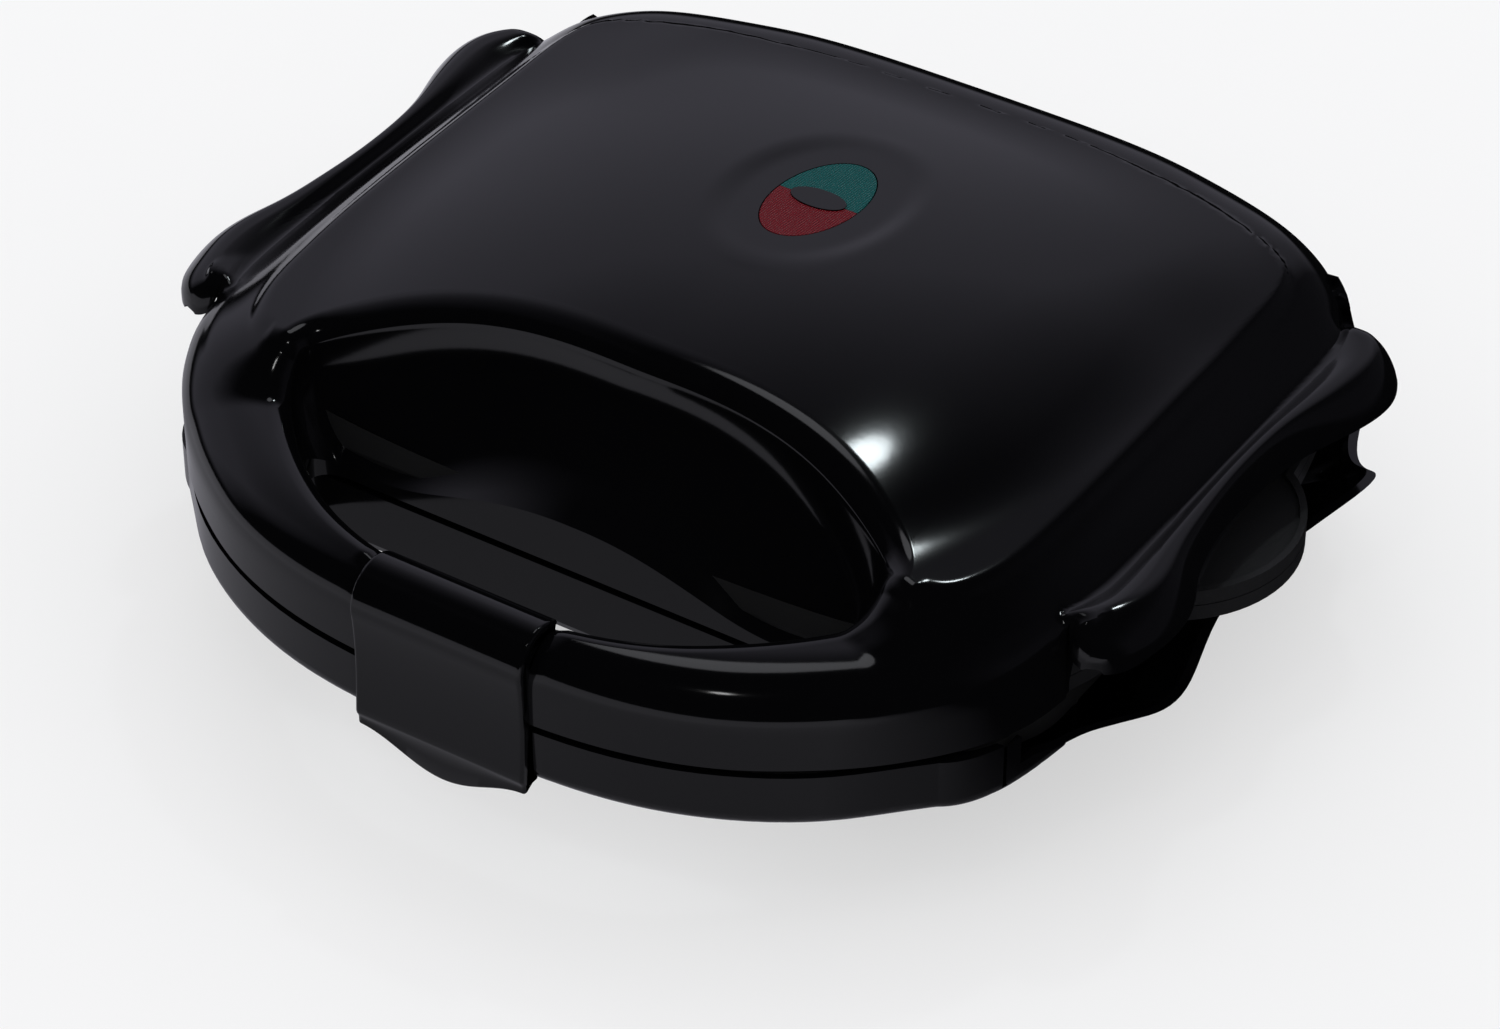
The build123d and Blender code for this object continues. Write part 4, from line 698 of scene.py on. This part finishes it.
def makeFrontPatch(bm):
    # the bow, the scoop and the saddles beside it: a ring round the finger opening
    bowSteps = frontGrid["bowSteps"]
    outer = [(x, joinLine(x)) for x in columnsOnJoin]
    past = joinEnd[0] - scoopEnd
    stations = [x / scoopEnd if x <= scoopEnd else 1 + (x - scoopEnd) / past for x in columnsOnJoin]
    fromMiddle = [row for row in bowLine if row[0] >= -rimStep / 2 - 0.01]
    fromMiddle[0] = (0.0, bowHalf[0][1])
    outlineRun = list(reversed([row[:2] for row in fromMiddle]))
    outlineLengths = lengthsOf(outlineRun)
    for i in range(bowSteps):
        share = (i + 1) / bowSteps
        outer.append(walk(outlineRun, outlineLengths, share))
        stations.append(lookUp(facing, share * facing[-1][0]))
    outer[-1] = (0.0, bowHalf[0][1])
    half = len(outer) - 1
    wallRows = frontGrid["wallRows"]
    bowlRows = frontGrid["bowlRows"]
    beadRows = frontGrid["beadRows"]
    topRows = frontGrid["topRows"]
    rows = wallRows + bowlRows + beadRows + topRows
    seam = lid["seamLevel"]
    reachEnd = frontGrid["bowlReach"]
    even = frontGrid["evenRows"]
    table = {}
    for k in range(half + 1):
        knot = lookUp(stationRun, stations[k])
        ex, ey, run, drop, lx, ly, lz = gripEdge.at(knot)
        if k in (0, half):
            ex, lx = 0.0, 0.0
        ahead = gripEdge.at(knot + 0.5)
        back = gripEdge.at(knot - 0.5)
        tx, ty = ahead[0] - back[0], ahead[1] - back[1]
        size = math.hypot(tx, ty)
        nx, ny = -ty / size, tx / size           # outwards, away from the opening
        if k in (0, half):
            nx = 0.0
        sx, sy = ex + nx * run, ey + ny * run    # where the rounding meets the top
        crown = lidTop(sx, sy)
        start = crown - drop
        ox, oy = outer[k]
        scooped = 1 - smoothStep(*frontGrid["scoopFades"], stations[k])
        onBow = smoothStep(*frontGrid["bowBegins"], stations[k])
        column = []
        for i in range(wallRows + 1):
            column.append((lx, ly, seam + (lz - seam) * i / wallRows))
        for i in range(bowlRows):
            t = (i + 1) / bowlRows
            rise = (1 - math.sqrt(1 - (reachEnd * t) ** 2)) / (1 - math.sqrt(1 - reachEnd ** 2))
            bowl = frontGrid["bowlSlope"] * t + (1 - frontGrid["bowlSlope"]) * rise
            level = lz + (start - lz) * (scooped * bowl + (1 - scooped) * t)
            reach = scooped * t + (1 - scooped) * (1 - (1 - t) ** 2)
            column.append((lx + (ex - lx) * reach, ly + (ey - ly) * reach, level))
        for i in range(beadRows):
            t = (i + 1) / beadRows * math.pi / 2
            out = 1 - math.cos(t)
            px, py = ex + nx * run * out, ey + ny * run * out
            column.append((px, py, start + drop * math.sin(t)))
        for i in range(topRows):
            t = (i + 1) / topRows
            bunched = even * t + (1 - even) * math.sin(t * math.pi / 2)
            reach = (1 - onBow) * t + onBow * bunched
            px, py = sx + (ox - sx) * reach, sy + (oy - sy) * reach
            column.append((px, py, lidTop(px, py)))
        table[k] = column
    grid = bmesh.ops.create_grid(bm, x_segments=2 * half, y_segments=rows, size=1.0)["verts"]
    for vert in grid:
        k = round(vert.co.x * half)
        j = round((vert.co.y + 1) / 2 * rows)
        x, y, z = table[abs(k)][j]
        vert.co = (math.copysign(x, k), y, z) if k else (0.0, y, z)


def toObject(bm, name, finish, body):
    # a bmesh in mm as an object in metres that rides on a body
    bmesh.ops.scale(bm, vec=(mm, mm, mm), verts=bm.verts)
    mesh = bpy.data.meshes.new(name)
    bm.to_mesh(mesh)
    bm.free()
    made = bpy.data.objects.new(name, mesh)
    scene.collection.objects.link(made)
    made.data.materials.append(finish)
    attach(made, body)
    return made


def shadeSmooth(made, angle):
    for face in made.data.polygons:
        face.use_smooth = True
    made.data.set_sharp_from_angle(angle=math.radians(angle))


def bakeModifiers(made):
    graph = bpy.context.evaluated_depsgraph_get()
    graph.update()
    fresh = bpy.data.meshes.new_from_object(made.evaluated_get(graph))
    made.modifiers.clear()
    old = made.data
    made.data = fresh
    bpy.data.meshes.remove(old)


def cutWindow(bm):
    # opens the oval for the lenses and draws its edge onto the oval
    wy, wz = lid["windowPlace"]
    a, b = lid["windowHalf"]
    middles = [(face, face.calc_center_median()) for face in bm.faces]
    inside = [face for face, middle in middles if math.hypot(middle.x / a, (middle.y - wy) / b) < 1]
    border = {v for f in inside for v in f.verts}
    bmesh.ops.delete(bm, geom=inside, context="FACES")
    for vert in border:
        if vert.is_valid and vert.is_boundary:
            reach = math.hypot(vert.co.x / a, (vert.co.y - wy) / b)
            vert.co.x /= reach
            vert.co.y = wy + (vert.co.y - wy) / reach
            vert.co.z = lidTop(vert.co.x, vert.co.y)
    return {v for v in border if v.is_valid}


def makeLidShell():
    bm = bmesh.new()
    makeDomePatch(bm)
    makeFrontPatch(bm)
    bmesh.ops.remove_doubles(bm, verts=bm.verts, dist=0.02)
    window = cutWindow(bm)
    # walls down from the outline, in three steps, without the window and the foot of the finger opening
    rim = [e for e in bm.edges if len(e.link_faces) == 1 and not any(v in window for v in e.verts)
           and not all(v.co.y > lid["openingFront"] and v.co.z < lid["seamLevel"] + 0.1 for v in e.verts)]
    for share in (1 / 3, 1 / 2, 1):
        made = bmesh.ops.extrude_edge_only(bm, edges=rim)["geom"]
        verts = [g for g in made if isinstance(g, bmesh.types.BMVert)]
        rim = [g for g in made if isinstance(g, bmesh.types.BMEdge)]
        for v in verts:
            x, y, z = abs(v.co.x), v.co.y, v.co.z
            if y < joinEnd[1] + 0.1 and x < joinEnd[0] + 0.1:
                low = lid["seamLevel"]
            elif y > skirtHalf[-1][1] - 0.2:
                low = lid["rearLevel"] + lid["rearRise"] * smoothStep(*lid["rearRiseOver"], y)
            else:
                low = z - lid["edgeWall"] - lid["noseWall"] * smoothStep(*lid["noseOver"], y)
            v.co.z = z + (low - z) * share
    bmesh.ops.recalc_face_normals(bm, faces=bm.faces)
    up = sum(f.normal.z * f.calc_area() for f in bm.faces)
    if up < 0:
        bmesh.ops.reverse_faces(bm, faces=bm.faces)
    openEdges = sum(1 for e in bm.edges if len(e.link_faces) == 1)
    print("lid shell faces", len(bm.faces), "open edges before it is thickened", openEdges)
    shell = toObject(bm, "lidShell", glossBlack, "lid")
    wall = shell.modifiers.new("wall", "SOLIDIFY")
    wall.thickness = lid["wall"] * mm
    wall.offset = -1.0
    bakeModifiers(shell)
    shadeSmooth(shell, 38)
    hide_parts("lid_cover")


makeLidShell()


ears = {
    "inner": 47.5, "outer": 56.5,      # mm from the middle plane
    "axis": (112.0, 52.0),             # y and z of the hinge
    "radius": 8.0, "bore": 2.55,
    "neck": 14.0,                      # height of the upright part over the axis
    "top": 68.0,
    "topRear": 5.0, "topFront": 16.0,  # ends of the top, behind and in front of the axis
    "bevel": 0.5,
}


def circle(place, radius, low, high, steps):
    # points on an arc in y and z, its angles in degrees
    turns = [math.radians(low + (high - low) * i / steps) for i in range(steps + 1)]
    return [(place[0] + radius * math.cos(turn), place[1] + radius * math.sin(turn)) for turn in turns]


def addPlate(bm, outline, hole, low, high, bevel):
    # a flat piece with a hole, drawn in y and z, between two places along x
    part = bmesh.new()
    loops = []
    for line in (outline, hole):
        verts = [part.verts.new((low, y, z)) for y, z in line]
        loops += [part.edges.new((a, b)) for a, b in zip(verts, verts[1:] + verts[:1])]
    filled = bmesh.ops.triangle_fill(part, use_beauty=True, use_dissolve=False, edges=loops)["geom"]
    faces = [g for g in filled if isinstance(g, bmesh.types.BMFace)]
    pushed = bmesh.ops.extrude_face_region(part, geom=faces)["geom"]
    moved = [g for g in pushed if isinstance(g, bmesh.types.BMVert)]
    bmesh.ops.translate(part, vec=(high - low, 0, 0), verts=moved)
    bmesh.ops.recalc_face_normals(part, faces=part.faces)
    # the rims of its two flat faces
    sharp = [edge for edge in part.edges if len(edge.link_faces) == 2 and edge.calc_face_angle(0) > 1.2
             and abs(edge.verts[0].co.x - edge.verts[1].co.x) < 0.01]
    bmesh.ops.bevel(part, geom=sharp, offset=bevel, offset_type="OFFSET", segments=2, profile=0.5,
                    affect="EDGES", material=-1)
    mesh = bpy.data.meshes.new("plate")
    part.to_mesh(mesh)
    part.free()
    bm.from_mesh(mesh)
    bpy.data.meshes.remove(mesh)


def makeEars(e):
    # two hooks that reach down from the dome to the hinge pins
    bm = bmesh.new()
    ay, az = e["axis"]
    r = e["radius"]
    outline = circle(e["axis"], r, 180, 360, 40)
    neck = az + e["neck"]
    outline += [(ay + r, neck), (ay + e["topRear"], e["top"])]
    outline += [(ay - e["topFront"], e["top"]), (ay - r, neck)]
    hole = circle(e["axis"], e["bore"], 0, 351, 39)
    for side in (-1, 1):
        low, high = sorted((side * e["inner"], side * e["outer"]))
        addPlate(bm, outline, hole, low, high, e["bevel"])
    made = toObject(bm, "lidEars", glossBlack, "lid")
    shadeSmooth(made, 40)


bowEnd = {
    "inner": 114.8, "outer": 118.9,    # mm from the middle plane
    "place": -47.6, "thick": 1.6,
    "low": 46.2, "high": 64.5,
}


def makeBowEnds(e):
    # the short walls that close the bow where the side gap begins
    bm = bmesh.new()
    for side in (-1, 1):
        made = bmesh.ops.create_grid(bm, x_segments=6, y_segments=10, size=0.5)["verts"]
        for vert in made:
            x = side * (e["inner"] + (e["outer"] - e["inner"]) * (vert.co.x + 0.5))
            z = e["low"] + (e["high"] - e["low"]) * (vert.co.y + 0.5)
            vert.co = (x, e["place"], z)
    bmesh.ops.recalc_face_normals(bm, faces=bm.faces)
    bmesh.ops.solidify(bm, geom=list(bm.faces), thickness=e["thick"])
    bmesh.ops.recalc_face_normals(bm, faces=bm.faces)
    made = toObject(bm, "bowEnds", glossBlack, "lid")
    shadeSmooth(made, 30)


makeEars(ears)
makeBowEnds(bowEnd)
print("ears and bow ends")


clip = {
    "pin": (-115.4, 60.0),             # y and z of the latch's hinge, mm
    "outer": 9.6, "thick": 2.4,
    "wrapStart": 50.0,                 # degrees, where the wrap begins on the bow
    "wrapSteps": 26, "faceSteps": 16,
    "half": 23.5,                      # half its width
    "hollow": 0.8,                     # how far the front face curves in
    "hollowPower": 0.8,                # below 1 the deepest place is in its upper half
    "fold": 31.0,
    # the lip under the fold: behind the front face, z
    "lip": ((0.15, 30.3), (0.6, 29.5), (1.1, 25.0), (0.9, 21.0), (1.1, 20.4), (2.3, 20.4), (2.5, 21.0),
            (2.6, 24.2)),
    "lipFrom": 29.5,                   # below this the lip is shortened towards the sides
    "lipSide": 0.30,                   # its depth there against its middle
    "lipPower": 1.9,
    "columns": 44,
    "hook": (-118.6, 26.4, 28.6),      # y of its tip, z of its lower and upper face
    "earPlace": 9.5, "earHalf": 1.5, "earRadius": 4.5, "earBore": 1.65,
    "bevel": 0.8,
}


def makeClip(c):
    # the latch: a wrap over the bow, a hollow front face, a fold with a wavy lip, and a hook behind it
    py, pz = c["pin"]
    front = py - c["outer"]
    back = front + c["thick"]
    hookTip, hookLow, hookHigh = c["hook"]
    section = circle(c["pin"], c["outer"], c["wrapStart"], 180, c["wrapSteps"])
    for i in range(c["faceSteps"]):
        t = (i + 1) / c["faceSteps"]
        hollow = c["hollow"] * math.sin(math.pi * t ** c["hollowPower"])
        section.append((front + hollow, pz + (c["fold"] - pz) * t))
    section += [(front + behind, z) for behind, z in c["lip"]]
    section += [(back, hookLow), (hookTip, hookLow), (hookTip, hookHigh), (back, hookHigh)]
    inner = circle(c["pin"], c["outer"] - c["thick"], c["wrapStart"], 180, c["wrapSteps"])
    section += list(reversed(inner))
    # the section is drawn out along the width, then the lip is shortened towards the sides
    bm = bmesh.new()
    verts = [bm.verts.new((-c["half"], y, z)) for y, z in section]
    rim = [bm.edges.new((a, b)) for a, b in zip(verts, verts[1:] + verts[:1])]
    step = 2 * c["half"] / c["columns"]
    for _ in range(c["columns"]):
        made = bmesh.ops.extrude_edge_only(bm, edges=rim)["geom"]
        rim = [g for g in made if isinstance(g, bmesh.types.BMEdge)]
        moved = [g for g in made if isinstance(g, bmesh.types.BMVert)]
        bmesh.ops.translate(bm, vec=(step, 0, 0), verts=moved)
    ends = [edge for edge in bm.edges if edge.is_boundary]
    caps = bmesh.ops.holes_fill(bm, edges=ends, sides=0)["faces"]
    low = c["lipFrom"]
    for vert in bm.verts:
        if vert.co.z < low:
            across = max(math.cos(math.pi * vert.co.x / (2 * c["half"])), 0.0) ** c["lipPower"]
            vert.co.z = low + (vert.co.z - low) * (c["lipSide"] + (1 - c["lipSide"]) * across)
    bmesh.ops.recalc_face_normals(bm, faces=bm.faces)
    rims = [edge for cap in caps for edge in cap.edges]
    bmesh.ops.bevel(bm, geom=rims, offset=c["bevel"], offset_type="OFFSET", segments=3, profile=0.5,
                    affect="EDGES", material=-1)
    r = c["earRadius"]
    outline = circle(c["pin"], r, -129, 129, 30) + [(py - 8.6, pz + 3.5), (py - 8.6, pz - 3.5)]
    hole = circle(c["pin"], c["earBore"], 0, 345, 23)
    for side in (-1, 1):
        middle = side * c["earPlace"]
        addPlate(bm, outline, hole, middle - c["earHalf"], middle + c["earHalf"], 0.2)
    made = toObject(bm, "latchClip", glossBlack, "latch")
    shadeSmooth(made, 30)
    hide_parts("latch")


makeClip(clip)
print("latch")


# Floor and light
stage = {
    "floorSize": 6.0,
    "floorTone": 0.80,
    "worldTone": 1.0,                  # what rough surfaces get from all sides
    "worldTint": (0.98, 0.98, 1.0),
    "unlit": 0.004,                    # what polished surfaces show of the dark places
    "skyTone": 0.44,                   # what polished surfaces show of the room
    "skyTint": (0.85, 0.83, 1.0),
    "floorShine": 0.32,                # what polished surfaces show of the floor
    "farShine": 0.40,                  # and what comes to that further out
    "floorTint": (0.91, 0.90, 1.0),
    # start and slope of each change in what polished surfaces show
    "floorLit": (0.1111, -8.1),        # over x + y in m
    "floorFar": (0.02, 12.0),          # over the squared distance from the middle
    # and over the directions in the room
    "roomRight": (-0.20, 3.4),
    "roomFront": (0.0, -3.0),
    "ceiling": (0.88, -3.2),
    "horizon": (0.06, 9.0),
    "rightDark": 0.85,                 # how much of the room's light the right side loses
    "paperGlow": 0.55,                 # how far the floor is its own white, which keeps the shadow light
}


def makeFloor(s):
    bm = bmesh.new()
    bmesh.ops.create_grid(bm, x_segments=8, y_segments=8, size=s["floorSize"] / 2)
    mesh = bpy.data.meshes.new("floor")
    bm.to_mesh(mesh)
    bm.free()
    floor = bpy.data.objects.new("floor", mesh)
    scene.collection.objects.link(floor)
    f = Finish("floorPaper", Roughness=0.9, Specular_IOR_Level=0.0)
    tone = s["floorTone"]
    f.feed(Base_Color=f.blendColour(f.noise(40.0), (tone,) * 3, (tone + 0.01,) * 3))
    # white paper that keeps the shadow light
    white = f.node("ShaderNodeEmission", Strength=1.0)
    paper = f.node("ShaderNodeMixShader", i0=s["paperGlow"], i1=Sock(f.tree, f.shader.outputs[0]), i2=white)
    # polished surfaces show it grey, lighter further out, and dark to the right and behind
    across, along, _ = f.split(f.place)
    lit = (across + along).ramp(*s["floorLit"])
    far = (across * across + along * along).ramp(*s["floorFar"])
    tint = s["floorTint"] + (1,)
    unlit = f.node("ShaderNodeEmission", Color=tint, Strength=s["unlit"])
    grey = f.node("ShaderNodeEmission", Color=tint, Strength=1.0)
    share = lit * (far * s["farShine"] + s["floorShine"])
    shine = f.node("ShaderNodeMixShader", i0=share, i1=unlit, i2=grey)
    glossy = f.node("ShaderNodeLightPath", out="Is Glossy Ray")
    f.show(f.node("ShaderNodeMixShader", i0=glossy, i1=paper, i2=shine), "Material Output")
    floor.data.materials.append(f.material)


def makeWorld(s):
    # rough surfaces get a plain level, polished ones a lit rear with a dark ceiling, front and right
    world = bpy.data.worlds.new("studio")
    scene.world = world
    world.use_nodes = True
    w = Wiring(world.node_tree)
    right, rear, up = w.split(w.node("ShaderNodeTexCoord", out="Generated"))
    dim = (1 - right.ramp(*s["roomRight"]) * s["rightDark"]) * (1 - rear.ramp(*s["roomFront"]))
    lit = dim * up.ramp(*s["ceiling"]) * up.ramp(*s["horizon"])
    tint = s["skyTint"] + (1,)
    unlit = w.node("ShaderNodeBackground", Color=tint, Strength=s["unlit"])
    sky = w.node("ShaderNodeBackground", Color=tint, Strength=s["skyTone"])
    walls = w.node("ShaderNodeMixShader", i0=lit, i1=unlit, i2=sky)
    room = w.node("ShaderNodeBackground", Color=s["worldTint"] + (1,), Strength=s["worldTone"])
    glossy = w.node("ShaderNodeLightPath", out="Is Glossy Ray")
    w.show(w.node("ShaderNodeMixShader", i0=glossy, i1=room, i2=walls), "World Output")


lamps = {
    # place and aim in m, size across in m, power in W, tint
    "keyLamp": ((-0.21, 1.12, 1.94), (0.06, -0.04, 0.086), 0.16, 2.6, (0.88, 0.97, 1.0)),
    "bowLamp": ((-0.50, 0.60, 1.83), (0.06, -0.10, 0.067), 0.55, 1.3, (0.93, 0.94, 1.0)),
    "frontLamp": ((0.24, -0.90, 1.89), (0.06, -0.10, 0.06), 0.14, 0.7, (1.0, 1.0, 1.0)),
}


def makeLamp(name, place, aim, size, power, tint):
    data = bpy.data.lights.new(name, "AREA")
    data.shape = "DISK"
    data.size = size
    data.energy = power
    data.color = tint
    lamp = bpy.data.objects.new(name, data)
    lamp.location = place
    lamp.rotation_euler = (Vector(aim) - Vector(place)).to_track_quat("-Z", "Y").to_euler()
    scene.collection.objects.link(lamp)


makeFloor(stage)
makeWorld(stage)
for lampName, values in lamps.items():
    makeLamp(lampName, *values)
print("floor and light")

scene.view_settings.view_transform = "Standard"
